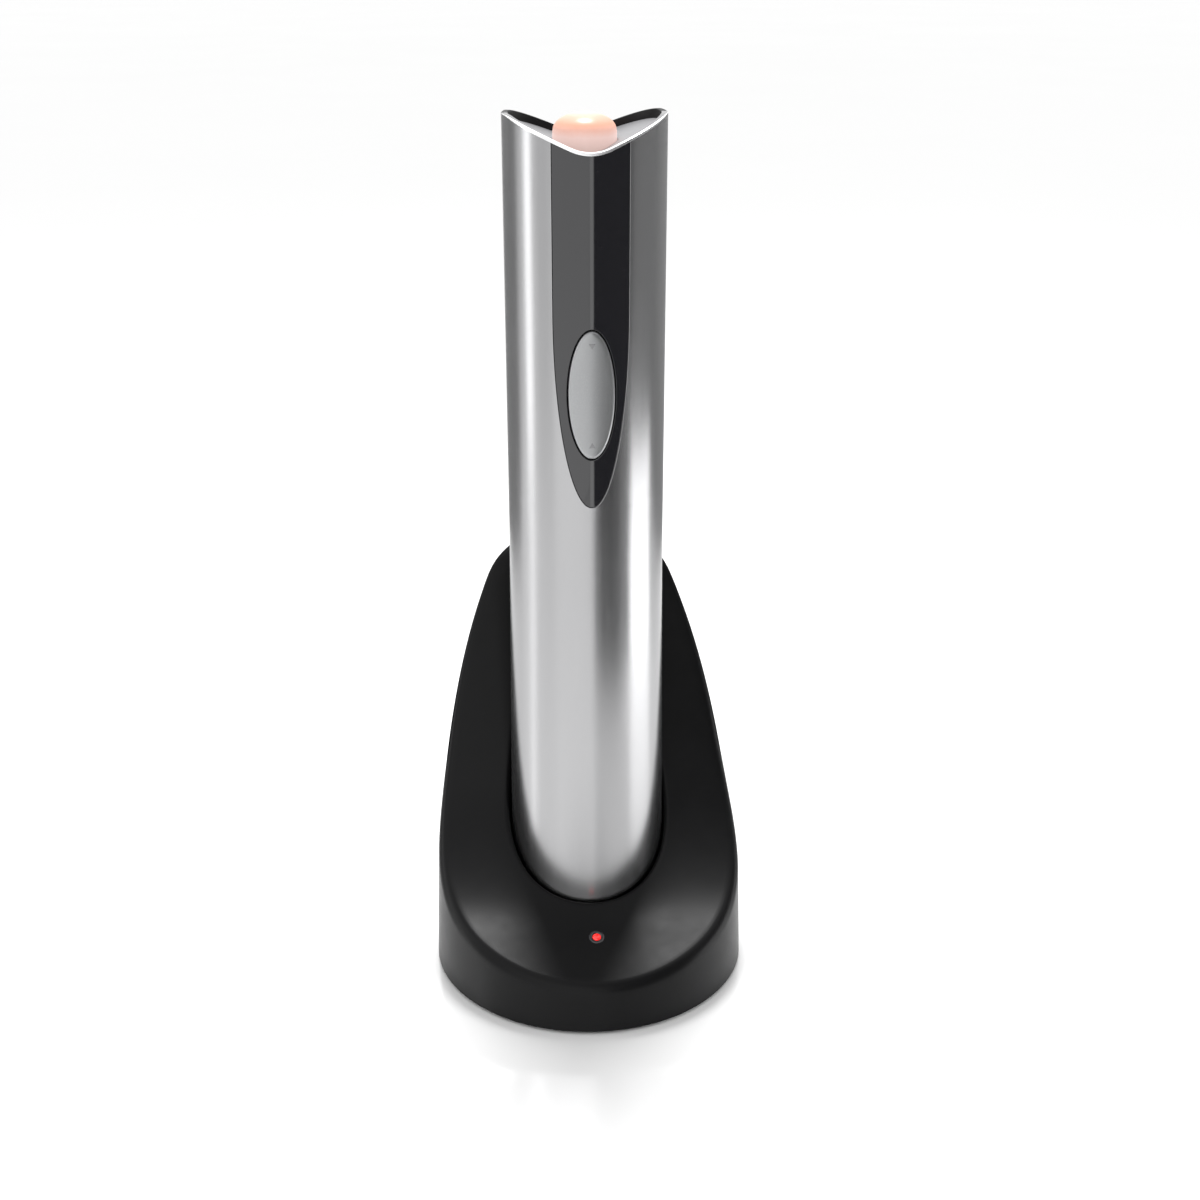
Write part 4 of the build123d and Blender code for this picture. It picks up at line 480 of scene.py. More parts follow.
# ---------------------------------------------------------------- mesh tools
class Form:
    """A mesh in the making, in millimetres about the opener's own axis."""

    def __init__(self) -> None:
        """Start with an empty mesh."""
        self.bm = bmesh.new()

    def lofted(self, loops: Sequence[Loop], close_start: bool = False, close_end: bool = False) -> "Form":
        """Draw a skin through closed loops that have the same number of points.

        Args:
            loops: the loops, in order.
            close_start: fill the first loop.
            close_end: fill the last loop.

        Returns:
            This form.
        """
        place = self.bm.verts.layers.int.new("place")
        ring = bmesh.ops.create_circle(self.bm, segments=len(loops[0]), radius=1.0)["verts"]
        for index, vert in enumerate(sorted(ring, key=lambda v: atan2(v.co.y, v.co.x))):
            vert[place] = index
            vert.co = loops[0][index]
        edges = list(self.bm.edges)
        first = list(edges)
        for loop in loops[1:]:
            grown = bmesh.ops.extrude_edge_only(self.bm, edges=edges)["geom"]
            for vert in (item for item in grown if isinstance(item, bmesh.types.BMVert)):
                vert.co = loop[vert[place]]
            edges = [item for item in grown if isinstance(item, bmesh.types.BMEdge)
                     and all(end in grown for end in item.verts)]
        if close_start:
            bmesh.ops.contextual_create(self.bm, geom=first)
        if close_end:
            bmesh.ops.contextual_create(self.bm, geom=edges)
        bmesh.ops.recalc_face_normals(self.bm, faces=self.bm.faces)
        return self

    def turned(self, profile: Iterable[tuple[float, float]], steps: int = 72) -> "Form":
        """Spin a profile about Z.

        Args:
            profile: its (radius, height) points.
            steps: how many facets a full turn has.

        Returns:
            This form.
        """
        verts = [self.bm.verts.new((radius, 0.0, height)) for radius, height in profile]
        edges = [self.bm.edges.new(pair) for pair in zip(verts, verts[1:])]
        bmesh.ops.spin(self.bm, geom=verts + edges, cent=(0, 0, 0), axis=(0, 0, 1), angle=2 * pi,
                       steps=steps, use_merge=True)
        bmesh.ops.remove_doubles(self.bm, verts=self.bm.verts, dist=MERGE)
        bmesh.ops.recalc_face_normals(self.bm, faces=self.bm.faces)
        return self

    def sheet(self, columns: int, rows: int, place: Callable[[int, int], Vector]) -> "Form":
        """Lay a grid and carry each of its corners to its place.

        Args:
            columns: how many columns of faces.
            rows: how many rows of faces.
            place: gives a corner's place from its column and row.

        Returns:
            This form.
        """
        made = bmesh.ops.create_grid(self.bm, x_segments=columns, y_segments=rows, size=1.0)
        for vert in made["verts"]:
            column = round((vert.co.x + 1) / 2 * columns)
            row = round((vert.co.y + 1) / 2 * rows)
            vert.co = place(column, row)
        return self

    def mirrored(self) -> "Form":
        """Add the mirror image across the middle plane, joined where it meets."""
        geom = list(self.bm.verts) + list(self.bm.edges) + list(self.bm.faces)
        bmesh.ops.mirror(self.bm, geom=geom, matrix=Matrix.Identity(4), merge_dist=MERGE, axis="X")
        bmesh.ops.remove_doubles(self.bm, verts=self.bm.verts, dist=MERGE)
        bmesh.ops.recalc_face_normals(self.bm, faces=self.bm.faces)
        return self

    def facing(self, outward: Callable[[Vector], Vector]) -> "Form":
        """Turn an open sheet's faces outwards.

        Args:
            outward: gives the outward direction at a face's middle.

        Returns:
            This form.
        """
        self.bm.normal_update()
        votes = sum(1 if f.normal.dot(outward(f.calc_center_median())) > 0 else -1 for f in self.bm.faces)
        if votes < 0:
            bmesh.ops.reverse_faces(self.bm, faces=self.bm.faces)
        return self

    def rounded(self, where: Callable[[bmesh.types.BMEdge], bool], width: float, segments: int = 3) -> "Form":
        """Round the chosen edges.

        Args:
            where: tells whether an edge is chosen.
            width: how far the rounding reaches, in millimetres.
            segments: how many facets it has.

        Returns:
            This form.
        """
        chosen = [edge for edge in self.bm.edges if where(edge)]
        bmesh.ops.bevel(self.bm, geom=chosen, offset=width, offset_type="OFFSET", affect="EDGES",
                        segments=segments, profile=0.5, material=-1)
        return self

    def moved(self, matrix: Matrix) -> "Form":
        """Turn and move the whole form."""
        bmesh.ops.transform(self.bm, matrix=matrix, verts=self.bm.verts)
        return self

    def joined(self, other: "Form") -> "Form":
        """Take in another form."""
        spare = bpy.data.meshes.new("spare")
        other.bm.to_mesh(spare)
        self.bm.from_mesh(spare)
        bpy.data.meshes.remove(spare)
        return self

    def piece(self, name: str, finish: Finish, crease: float = 32.0) -> bpy.types.Object:
        """Make the finished object, with its place in its mesh.

        Args:
            name: the object's name.
            finish: what it is dressed in.
            crease: edges sharper than this, in degrees, stay crisp.

        Returns:
            The object.
        """
        to_frame = Matrix.Translation((0, AXIS_Y, 0)) @ Matrix.Scale(MM, 4)
        bmesh.ops.transform(self.bm, matrix=to_frame, verts=self.bm.verts)
        mesh = bpy.data.meshes.new(name)
        self.bm.to_mesh(mesh)
        self.bm.free()
        for polygon in mesh.polygons:
            polygon.use_smooth = True
        mesh.set_sharp_from_angle(angle=radians(crease))
        mesh.materials.append(finish.material())
        made = bpy.data.objects.new(name, mesh)
        bpy.context.scene.collection.objects.link(made)
        return made


def thicken(piece: bpy.types.Object, wall: float, edge: float) -> None:
    """Give an open sheet a wall on its inner side and round its edges.

    Args:
        piece: the sheet, its faces outwards.
        wall: the wall's thickness in millimetres.
        edge: the width of the rounding in millimetres.
    """
    solid = piece.modifiers.new("wall", "SOLIDIFY")
    solid.thickness = wall * MM
    solid.offset = -1.0
    solid.use_even_offset = True
    soften = piece.modifiers.new("edge", "BEVEL")
    soften.width = edge * MM
    soften.segments = 3
    soften.limit_method = "ANGLE"
    soften.angle_limit = radians(50)
    soften.harden_normals = True


def carve(piece: bpy.types.Object, cutter: Form) -> None:
    """Cut a form out of a piece, for good.

    Args:
        piece: what is cut.
        cutter: the closed form that is taken away.
    """
    tool = cutter.piece("cutter", BACK_BLACK)
    cut = piece.modifiers.new("cut", "BOOLEAN")
    cut.object = tool
    cut.solver = "EXACT"
    settled = bpy.data.meshes.new_from_object(piece.evaluated_get(bpy.context.evaluated_depsgraph_get()))
    settled.name = piece.name
    piece.modifiers.clear()
    piece.data = settled
    bpy.data.objects.remove(tool)


def hand_over(piece: bpy.types.Object, body: Body, slot: str, *nodes: str) -> bpy.types.Object:
    """Hang a new piece on the empty of the body that it rides on, and hide the CAD nodes that it stands for.

    Args:
        piece: the piece.
        body: what it rides on.
        slot: not used.
        nodes: the CAD nodes that it stands for.

    Returns:
        The piece.
    """
    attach(piece, body.value)
    if nodes:
        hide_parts(*nodes)
    return piece


def box_mm(node: str) -> tuple[Vector, Vector]:
    """A CAD node's corners in millimetres about the opener's axis."""
    low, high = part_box(node)
    shift = Vector((0, AXIS_Y, 0))
    return (low - shift) / MM, (high - shift) / MM


def quarter(radius: float, rise: float, foot: float, count: int) -> list[tuple[float, float]]:
    """A quarter oval's (radius, height) points, from its widest to just short of its top.

    Args:
        radius: its widest radius.
        rise: how high its top is above its foot.
        foot: the height of its widest point.
        count: how many steps lead to the top.

    Returns:
        The points, the widest first.
    """
    turns = [pi / 2 * step / count for step in range(count)]
    return [(radius * cos(turn), foot + rise * sin(turn)) for turn in turns]


def cross_bar(radius: float, facets: int, length: float, middle: Vector) -> Form:
    """A round bar that runs from front to back.

    Args:
        radius: its radius.
        facets: how many sides it has.
        length: how long it is.
        middle: the place of its middle.

    Returns:
        The bar.
    """
    bar = Form()
    bmesh.ops.create_cone(bar.bm, cap_ends=True, segments=facets, radius1=radius, radius2=radius, depth=length)
    return bar.moved(Matrix.Translation(middle) @ Matrix.Rotation(pi / 2, 4, "X"))


def towards_axis_out(point: Vector) -> Vector:
    """The direction away from the opener's axis."""
    return Vector((point.x, point.y, 0))


# ---------------------------------------------------------------- the opener's casing
@dataclass
class Saddle:
    """The saddle-shaped top: two flanks and a round valley that run front to back."""

    tip: float = field(default_factory=lambda: box_mm("rear_shell")[1].z)
    radius: float = TUBE_RADIUS
    slope: float = radians(22.4)
    valley_radius: float = 16.0
    horn_flat: float = 1.0

    def valley(self) -> float:
        """Height of the lowest line of the top."""
        turn = self.valley_radius * sin(self.slope)
        rise = self.valley_radius * (1 - cos(self.slope))
        return self.tip - rise - (self.radius - self.horn_flat - turn) * tan(self.slope)

    def height(self, x: float) -> float:
        """Height of the top at a distance from the middle.

        Args:
            x: the distance, in millimetres.

        Returns:
            The height.
        """
        turn = self.valley_radius * sin(self.slope)
        if abs(x) <= turn:
            return self.valley() + self.valley_radius - sqrt(self.valley_radius ** 2 - x * x)
        rise = self.valley_radius * (1 - cos(self.slope))
        return min(self.valley() + rise + (abs(x) - turn) * tan(self.slope), self.tip)


@dataclass
class Tube:
    """The tube's two halves: brushed metal in front and moulded plastic behind."""

    saddle: Saddle = field(default_factory=Saddle)
    radius: float = TUBE_RADIUS
    wall: float = 2.0
    flare: float = 26.5
    flare_bottom: float = 50.0
    flare_top: float = 150.0
    foot: float = field(default_factory=lambda: box_mm("rear_shell")[0].z)
    window: float = INSERT_HALF_WIDTH + INSERT_GAP
    window_bend: float = INSERT_BEND
    window_drop: float = INSERT_DROP + INSERT_GAP
    seam: float = 0.12
    columns: int = 30
    plain_rows: int = 36
    bend_rows: int = 32
    rim_rows: int = 10
    rear_rows: int = 48
    rear_rim_rows: int = 4
    rear_rim: float = 6.0
    edge: float = 0.4
    screw_head: float = 2.1
    well: float = 2.2
    well_wall: float = 0.5
    well_start: float = 9.5
    well_end: float = 20.0
    bar_start: float = 6.0
    bar_length: float = 30.0

    def radius_at(self, height: float) -> float:
        """The tube's radius at a height: it widens evenly from flare_top down to flare_bottom and stays
        constant beyond them.
        """
        share = (self.flare_top - height) / (self.flare_top - self.flare_bottom)
        return self.radius + (self.flare - self.radius) * min(max(share, 0.0), 1.0)

    def rows(self) -> list[tuple[float, float, float]]:
        """The front half's rows: (height, window's half width, share of the way up to the top)."""
        tip = self.window_bend - self.window_drop
        rise = tip - self.foot
        plain = [(self.foot + rise * step / self.plain_rows, 0.0, 0.0) for step in range(self.plain_rows)]
        turns = [pi / 2 * (1 - step / self.bend_rows) for step in range(self.bend_rows + 1)]
        curved = [(self.window_bend - self.window_drop * sin(turn), self.window * cos(turn), 0.0)
                  for turn in turns]
        shares = [step / self.rim_rows for step in range(1, self.rim_rows + 1)]
        return plain + curved + [(self.window_bend, self.window, share) for share in shares]

    def front(self) -> bpy.types.Object:
        """The metal half, with the window for the insert."""
        rows = self.rows()

        def place(column: int, row: int) -> Vector:
            """Carry a grid corner to the tube: columns go from the window to the seam."""
            height, half_window, share = rows[row]
            radius = self.radius_at(height)
            start = asin(half_window / radius)
            end = pi / 2 - self.seam / radius / 2
            angle = start + (end - start) * column / self.columns
            x = radius * sin(angle)
            top = height + (self.saddle.height(x) - height) * share
            return Vector((x, -radius * cos(angle), top))

        form = Form().sheet(self.columns, len(rows) - 1, place).mirrored().facing(towards_axis_out)
        made = form.piece("tube_front", TUBE_METAL)
        thicken(made, self.wall, self.edge)
        return hand_over(made, Body.OPENER, "brushed_tube", "front_shell")

    def rear(self) -> bpy.types.Object:
        """The plastic half, with its four screw wells."""
        last = self.rear_rows
        rise = self.saddle.valley() - self.rear_rim - self.foot
        heights = [self.foot + rise * step / last for step in range(last + 1)]

        def place(column: int, row: int) -> Vector:
            """Carry a grid corner to the tube: columns go from seam to seam."""
            height = heights[min(row, last)]
            radius = self.radius_at(height)
            turn = self.seam / radius / 2
            angle = turn + (pi - 2 * turn) * column / (2 * self.columns)
            x = radius * cos(angle)
            share = max(row - last, 0) / self.rear_rim_rows
            top = height + (self.saddle.height(x) - height) * share
            return Vector((x, radius * sin(angle), top))

        form = Form().sheet(2 * self.columns, last + self.rear_rim_rows, place).facing(towards_axis_out)
        made = form.piece("tube_rear", BACK_BLACK)
        thicken(made, self.wall, self.edge)
        carve(made, self.well_cutter())
        made.data.set_sharp_from_angle(angle=radians(32))
        return hand_over(made, Body.OPENER, "black_moulding", "rear_shell")

    def screw_axes(self) -> list[tuple[float, float]]:
        """The casing screws' (x, height) places, from the frame's own screws."""
        low, high = box_mm("housing_screws")
        across, top, bottom = high.x - self.screw_head, high.z - self.screw_head, low.z + self.screw_head
        return [(side * across, level) for side in (-1, 1) for level in (bottom, top)]

    def well_cutter(self) -> Form:
        """Four bars that open the screw wells."""
        cutter = Form()
        middle_y = self.bar_start + self.bar_length / 2
        for x, height in self.screw_axes():
            cutter.joined(cross_bar(self.well, 40, self.bar_length, Vector((x, middle_y, height))))
        return cutter

    def wells(self) -> bpy.types.Object:
        """The linings of the screw wells, cut off along the tube's curve."""
        whole = Form()
        rim = self.radius - self.wall / 2
        inner, outer = self.well, self.well + self.well_wall
        profile = ((inner, self.well_start), (outer, self.well_start), (outer, self.well_end),
                   (inner, self.well_end), (inner, self.well_start))
        for x, height in self.screw_axes():
            lining = Form().turned(profile, 40)
            lining.moved(Matrix.Translation((x, 0, height)) @ Matrix.Rotation(-pi / 2, 4, "X"))
            for vert in lining.bm.verts:
                if vert.co.y > (self.well_start + self.well_end) / 2:
                    vert.co.y = sqrt(rim ** 2 - vert.co.x ** 2)
            whole.joined(lining)
        made = whole.piece("screw_well_linings", BACK_BLACK)
        return hand_over(made, Body.OPENER, "black_moulding")

    def build(self) -> list[bpy.types.Object]:
        """Both halves and the linings."""
        return [self.front(), self.rear(), self.wells()]


@dataclass
class Insert:
    """The gloss insert, flush in the front of the tube, with the button's window."""

    saddle: Saddle = field(default_factory=Saddle)
    radius: float = TUBE_RADIUS
    half_width: float = INSERT_HALF_WIDTH
    bend: float = INSERT_BEND
    drop: float = INSERT_DROP
    foot_steps: int = 96
    side_steps: int = 20
    wall: float = 2.2
    edge: float = 0.22
    button_z: float = field(default_factory=lambda: sum(v.z for v in box_mm("rocker_button")) / 2)
    window_width: float = BUTTON_HALF_WIDTH + BUTTON_GAP
    window_height: float = BUTTON_HALF_HEIGHT + BUTTON_GAP
    rings: int = 9

    def outline(self) -> list[tuple[float, float]]:
        """The outline's (x, height) points, starting at the left end of the curved foot."""
        turns = [pi * step / self.foot_steps for step in range(self.foot_steps)]
        points = [(-self.half_width * cos(turn), self.bend - self.drop * sin(turn)) for turn in turns]
        corner = self.saddle.height(self.half_width)
        shares = [step / self.side_steps for step in range(self.side_steps)]
        points += [(self.half_width, self.bend + (corner - self.bend) * share) for share in shares]
        across = [self.half_width * (1 - 2 * share) for share in shares]
        points += [(x, self.saddle.height(x)) for x in across]
        points += [(-self.half_width, corner + (self.bend - corner) * share) for share in shares]
        return points

    def on_tube(self, x: float, height: float, depth: float = 0.0) -> Vector:
        """A point of the tube's front surface, or below it by depth."""
        return Vector((x, -sqrt((self.radius - depth) ** 2 - x * x), height))

    def build(self) -> list[bpy.types.Object]:
        """The insert and the painted highlight strip along the front rim."""
        outer = self.outline()
        inner = []
        for x, height in outer:
            turn = atan2((height - self.button_z) / self.window_height, x / self.window_width)
            inner.append((self.window_width * cos(turn), self.button_z + self.window_height * sin(turn)))
        loops = []
        for ring in range(self.rings + 1):
            share = (ring / self.rings) ** 1.15
            loops.append([self.on_tube(x0 + (x1 - x0) * share, z0 + (z1 - z0) * share)
                          for (x0, z0), (x1, z1) in zip(inner, outer)])
        form = Form().lofted(loops).facing(towards_axis_out)
        made = form.piece("gloss_insert", GLOSS_BLACK)
        thicken(made, self.wall, self.edge)
        return [hand_over(made, Body.OPENER, "black_gloss", "front_insert"), self.rim_highlight_strip()]

    def rim_highlight_strip(self) -> bpy.types.Object:
        """A thin strip of pale metal that runs from horn to horn, over the tube's front and the insert, and
        thins out towards the sides: a painted highlight along the front rim.
        """
        section = ((0.02, -0.8), (0.05, -0.3), (-0.1, 0.06), (-0.5, 0.16), (-1.3, 0.16), (-1.5, -0.1))

        def place(column: int, row: int) -> Vector:
            """Carry a grid corner to the rim."""
            out, rise = section[row]
            angle = radians(88) * (column / 60 - 1)
            x = self.radius * sin(angle)
            # The strip's section shrinks towards the sides, so the painted highlight fades out away from the
            # front.
            highlight_fade = cos(angle)
            reach = self.radius + out * highlight_fade
            return Vector((reach * sin(angle), -reach * cos(angle), self.saddle.height(x) + rise * highlight_fade))

        form = Form().sheet(120, len(section) - 1, place).facing(lambda middle: Vector((0, 0, 1)))
        made = form.piece("rim_painted_highlight_strip", RIM_PAINTED_HIGHLIGHT, 50)
        return hand_over(made, Body.OPENER, "brushed_tube")


@dataclass
class Rocker:
    """The oval rocker button and its two raised marks."""

    insert: Insert = field(default_factory=Insert)
    half_width: float = BUTTON_HALF_WIDTH
    half_height: float = BUTTON_HALF_HEIGHT
    proud: float = 0.8
    depth: float = 3.4
    points: int = 96
    mark_offset: float = 16.0
    mark_size: float = 1.35

    def loop(self, share: float, lift: float) -> Loop:
        """An oval loop that follows the tube.

        Args:
            share: the oval's size as a share of the button's.
            lift: its height above the tube's surface.

        Returns:
            The loop.
        """
        found = []
        for step in range(self.points):
            turn = 2 * pi * step / self.points
            x = self.half_width * share * cos(turn)
            height = self.insert.button_z + self.half_height * share * sin(turn)
            found.append(self.insert.on_tube(x, height, -lift))
        return found

    def build(self) -> list[bpy.types.Object]:
        """The button with its marks."""
        dish = [(0.93, self.proud), (0.86, self.proud), (0.7, self.proud - 0.06), (0.5, self.proud - 0.12),
                (0.3, self.proud - 0.16), (0.1, self.proud - 0.18), (0.01, self.proud - 0.18)]
        flank = [(0.9, -self.depth), (1.0, -self.depth + 0.6), (1.0, self.proud - 0.7),
                 (0.985, self.proud - 0.28), (0.96, self.proud - 0.07)]
        loops = [self.loop(share, lift) for share, lift in flank + dish]
        body = Form().lofted(loops, close_start=True, close_end=True)
        button = body.piece("rocker_oval", SILVER_BUTTON, 40)
        hand_over(button, Body.ROCKER, "silver_button", "rocker_button")
        marks = [self.mark(side) for side in (-1, 1)]
        return [button, *marks]

    def mark(self, side: int) -> bpy.types.Object:
        """A small raised triangle that points to the button's end.

        Args:
            side: 1 for the upper mark, -1 for the lower.

        Returns:
            The mark.
        """
        form = Form()
        bmesh.ops.create_cone(form.bm, cap_ends=True, segments=3, radius1=self.mark_size,
                              radius2=self.mark_size * 0.8, depth=0.5)
        form.rounded(lambda edge: True, 0.12, 2)
        point_up = Matrix.Rotation(side * pi / 2 + pi / 2, 4, "Z")
        face_front = Matrix.Rotation(pi / 2, 4, "X")
        place = self.insert.on_tube(0, self.insert.button_z + side * self.mark_offset, -self.proud + 0.12)
        form.moved(Matrix.Translation(place) @ face_front @ point_up)
        made = form.piece(f"rocker_mark_{'upper' if side > 0 else 'lower'}", MARK_GREY)
        return hand_over(made, Body.ROCKER, "silver_button")


@dataclass
class Crown:
    """The dished cap inside the rim and the glowing lens in its middle."""

    saddle: Saddle = field(default_factory=Saddle)
    drop: float = 2.0
    radius: float = 23.3
    lens_radius: float = 9.9
    lens_gap: float = 0.15
    skirt_top: float = 286.7
    skirt: float = 1.5
    skirt_depth: float = 6.0
    thickness: float = 1.6
    edge: float = 0.3
    lip: float = 0.4
    lens_wall: float = 1.5
    lens_crown: float = 1.6
    lens_flange: float = 1.0
    lens_edge: float = 0.12
    rings: int = 10
    points: int = 120

    def loop(self, radius: float, depth: float) -> Loop:
        """A round loop that follows the saddle, lowered by depth."""
        turns = [2 * pi * step / self.points for step in range(self.points)]
        flat = [(radius * cos(turn), radius * sin(turn)) for turn in turns]
        return [Vector((x, y, self.saddle.height(x) - self.drop - depth)) for x, y in flat]

    def cap(self) -> bpy.types.Object:
        """The dished cap."""
        hole = self.lens_radius + self.lens_gap
        rim, edge, inner = self.radius - self.edge, hole + self.lip, self.radius - self.skirt
        rings = [(inner, self.skirt_depth), (self.radius, self.skirt_depth), (self.radius, self.edge)]
        rings.append((rim, 0.0))
        rings += [(rim + (edge - rim) * step / self.rings, 0.0) for step in range(1, self.rings + 1)]
        rings += [(hole + 0.1, 0.1), (hole, self.lip), (hole, self.thickness)]
        rings += [(hole + 2.5, self.thickness), (inner, self.thickness)]
        loops = [self.loop(radius, depth) for radius, depth in rings]
        loops.append(loops[0])
        form = Form().lofted(loops)
        bmesh.ops.remove_doubles(form.bm, verts=form.bm.verts, dist=MERGE)
        bmesh.ops.recalc_face_normals(form.bm, faces=form.bm.faces)
        made = form.piece("top_dish", SILVER_CAP)
        return hand_over(made, Body.OPENER, "silver_cap", "top_cap")

    def lens(self) -> bpy.types.Object:
        """The domed lens: hollow, with a flange under the cap."""
        low, top = (corner.z for corner in box_mm("lens"))
        crown = top - self.skirt_top
        reach = self.lens_radius - self.lens_edge
        flange, hollow = self.lens_radius + self.lens_flange, reach - self.lens_wall
        outer = [(flange, low), (flange, low + 1.5), (self.lens_radius, low + 1.5),
                 (self.lens_radius, self.skirt_top - 0.4)]
        outer += quarter(reach, crown, self.skirt_top, 18) + [(0.0, top)]
        inner = [(0.0, top - self.lens_crown)]
        inner += quarter(hollow, crown - self.lens_crown, self.skirt_top, 12)[::-1]
        inner += [(hollow, low), (flange, low)]
        made = Form().turned(outer + inner).piece("lens_dome", LENS_GLOW, 40)
        return hand_over(made, Body.OPENER, "lens_frost", "lens")

    def build(self) -> list[bpy.types.Object]:
        """The cap and the lens."""
        return [self.cap(), self.lens()]


# ---------------------------------------------------------------- the charging base
@dataclass
class Stand:
    """The charging base: a drafted column under a swept top, with a round socket in it."""

    half_width: float = 54.0
    rear_depth: float = 58.0
    centre_y: float = -7.5
    bottom: float = 0.8
    draft: float = radians(2.0)
    front_slope: float = radians(19.3)
    front_height: float = 39.3
    steep_slope: float = radians(69.5)
    steep_height: float = 44.7
    crest: float = 146.0
    valley_round: float = 82.0
    crest_round: float = 25.0
    rim_round: float = 3.0
    lip_round: float = 1.5
    socket: float = 27.2
    socket_floor: float = 13.9
    wall: float = 2.5
    points: int = 180
    rings: int = 16
    led_y: float = -41.0
    led_radius: float = 1.45
    jack_hole: float = 4.1
    side_round: float = 1.5
    foot_round: float = 0.5

    def deck(self, y: float) -> float:
        """Height of the swept top at a distance behind the opener's axis.

        Args:
            y: the distance.

        Returns:
            The height.
        """
        a, b = self.front_slope, self.steep_slope
        corner_y = (self.front_height - self.steep_height) / (tan(b) - tan(a))
        run = self.valley_round * tan((b - a) / 2)
        start = corner_y - run * cos(a)
        end = corner_y + run * cos(b)
        if y <= start:
            return self.front_height + y * tan(a)
        if y < end:
            middle_y = start - self.valley_round * sin(a)
            middle_z = self.front_height + start * tan(a) + self.valley_round * cos(a)
            return middle_z - sqrt(self.valley_round ** 2 - (y - middle_y) ** 2)
        crest_y = (self.crest - self.steep_height) / tan(b)
        bend = crest_y - self.crest_round * tan(b / 2) * cos(b)
        middle_y = bend + self.crest_round * sin(b)
        if y < bend:
            return self.steep_height + y * tan(b)
        if y >= middle_y:
            return self.crest
        return self.crest - self.crest_round + sqrt(self.crest_round ** 2 - (y - middle_y) ** 2)

    def wall_point(self, step: int, height: float, inset: float = 0.0) -> Vector:
        """A point of the drafted wall.

        Args:
            step: which of the loop's points.
            height: how high on the wall.
            inset: how far inside the wall.

        Returns:
            The point.
        """
        turn = 2 * pi * step / self.points
        shrink = inset + (height - self.bottom) * tan(self.draft)
        depth = self.rear_depth if sin(turn) > 0 else self.half_width
        across, along = self.half_width - shrink, depth - shrink
        return Vector((across * cos(turn), self.centre_y + along * sin(turn), height))

    def rim_point(self, step: int) -> Vector:
        """The point where the wall meets the top."""
        point = self.wall_point(step, self.bottom)
        for _ in range(20):
            point = self.wall_point(step, self.deck(point.y))
        return point

    def deck_loops(self, rim: Loop) -> list[Loop]:
        """Loops over the swept top, from the rim to the socket's edge."""
        edge = [Vector((p.x, p.y, 0)).normalized() * self.socket for p in rim]
        span = [(Vector((p.x, p.y, 0)) - e).length for p, e in zip(rim, edge)]
        shares = [[1 - (self.rim_round + 1.2) / s for s in span]]
        last = [(self.lip_round + 0.8) / s for s in span]
        for ring in range(1, self.rings + 1):
            shares.append([a + (b - a) * ring / self.rings for a, b in zip(shares[0], last)])
        shares.append([0.0] * self.points)
        loops = []
        for row in shares:
            flat = [e.lerp(Vector((p.x, p.y, 0)), share) for p, e, share in zip(rim, edge, row)]
            loops.append([Vector((p.x, p.y, self.deck(p.y))) for p in flat])
        return loops

    def body(self) -> bpy.types.Object:
        """The moulded body, closed underneath by a plate that the cover hides."""
        steps = range(self.points)
        rim = [self.rim_point(step) for step in steps]
        deck = self.deck_loops(rim)
        socket_edge = deck[-1]
        foot = self.bottom + self.foot_round
        lip = [(self.wall + 0.2, 5.0), (self.wall, self.bottom + 0.3), (self.wall - 0.3, self.bottom),
               (self.foot_round, self.bottom), (0.0, foot)]
        loops = [[self.wall_point(step, height, inset) for step in steps] for inset, height in lip]
        tops = [point.z - self.rim_round - self.side_round for point in rim]
        for share in (0.25, 0.5, 0.75, 1.0):
            loops.append([self.wall_point(step, foot + (tops[step] - foot) * share) for step in steps])
        loops.append(rim)
        loops += deck
        for share in (0.4, 1.0):
            loops.append([Vector((p.x, p.y, p.z + (self.socket_floor - p.z) * share)) for p in socket_edge])
        loops.append([Vector((p.x * 0.5, p.y * 0.5, self.socket_floor)) for p in socket_edge])
        form = Form().lofted(loops, close_start=True, close_end=True)

        def along(loop: Loop) -> Callable[[bmesh.types.BMEdge], bool]:
            """A test for edges whose two ends are among a loop's points."""
            points = {tuple(round(c, 3) for c in point) for point in loop}
            return lambda edge: all(tuple(round(c, 3) for c in v.co) in points for v in edge.verts)

        form.rounded(along(rim), self.rim_round, 6)
        form.rounded(along(socket_edge), self.lip_round, 4)
        made = form.piece("stand_body", BASE_BLACK, 40)
        low, high = box_mm("power_jack")
        carve(made, cross_bar(self.jack_hole, 64, 30.0, Vector((0, high.y + 3, (low.z + high.z) / 2))))
        made.data.set_sharp_from_angle(angle=radians(40))
        return hand_over(made, Body.BASE, "black_moulding", "base_shell")

    def led_place(self) -> Matrix:
        """The charging light's place, square to the shelf."""
        spot = Vector((0, self.led_y, self.deck(self.led_y)))
        return Matrix.Translation(spot) @ Matrix.Rotation(self.front_slope, 4, "X")

    def light(self) -> list[bpy.types.Object]:
        """The charging light and its ring."""
        ring = ((1.5, -2.6), (1.5, 0.05), (1.65, 0.2), (2.1, 0.32), (2.55, 0.2), (2.75, -0.1), (2.75, -2.6),
                (1.5, -2.6))
        bezel = Form().turned(ring, 48).moved(self.led_place()).piece("light_ring", GLOSS_BLACK, 40)
        dome = [(0.0, -5.0), (self.led_radius, -5.0)] + quarter(self.led_radius, 0.75, -0.1, 10) + [(0.0, 0.65)]
        bulb = Form().turned(dome, 40).moved(self.led_place()).piece("charging_light", LED_RED, 50)
        return [hand_over(bezel, Body.BASE, "black_gloss", "led_bezel"),
                hand_over(bulb, Body.BASE, "led_red", "charge_led")]

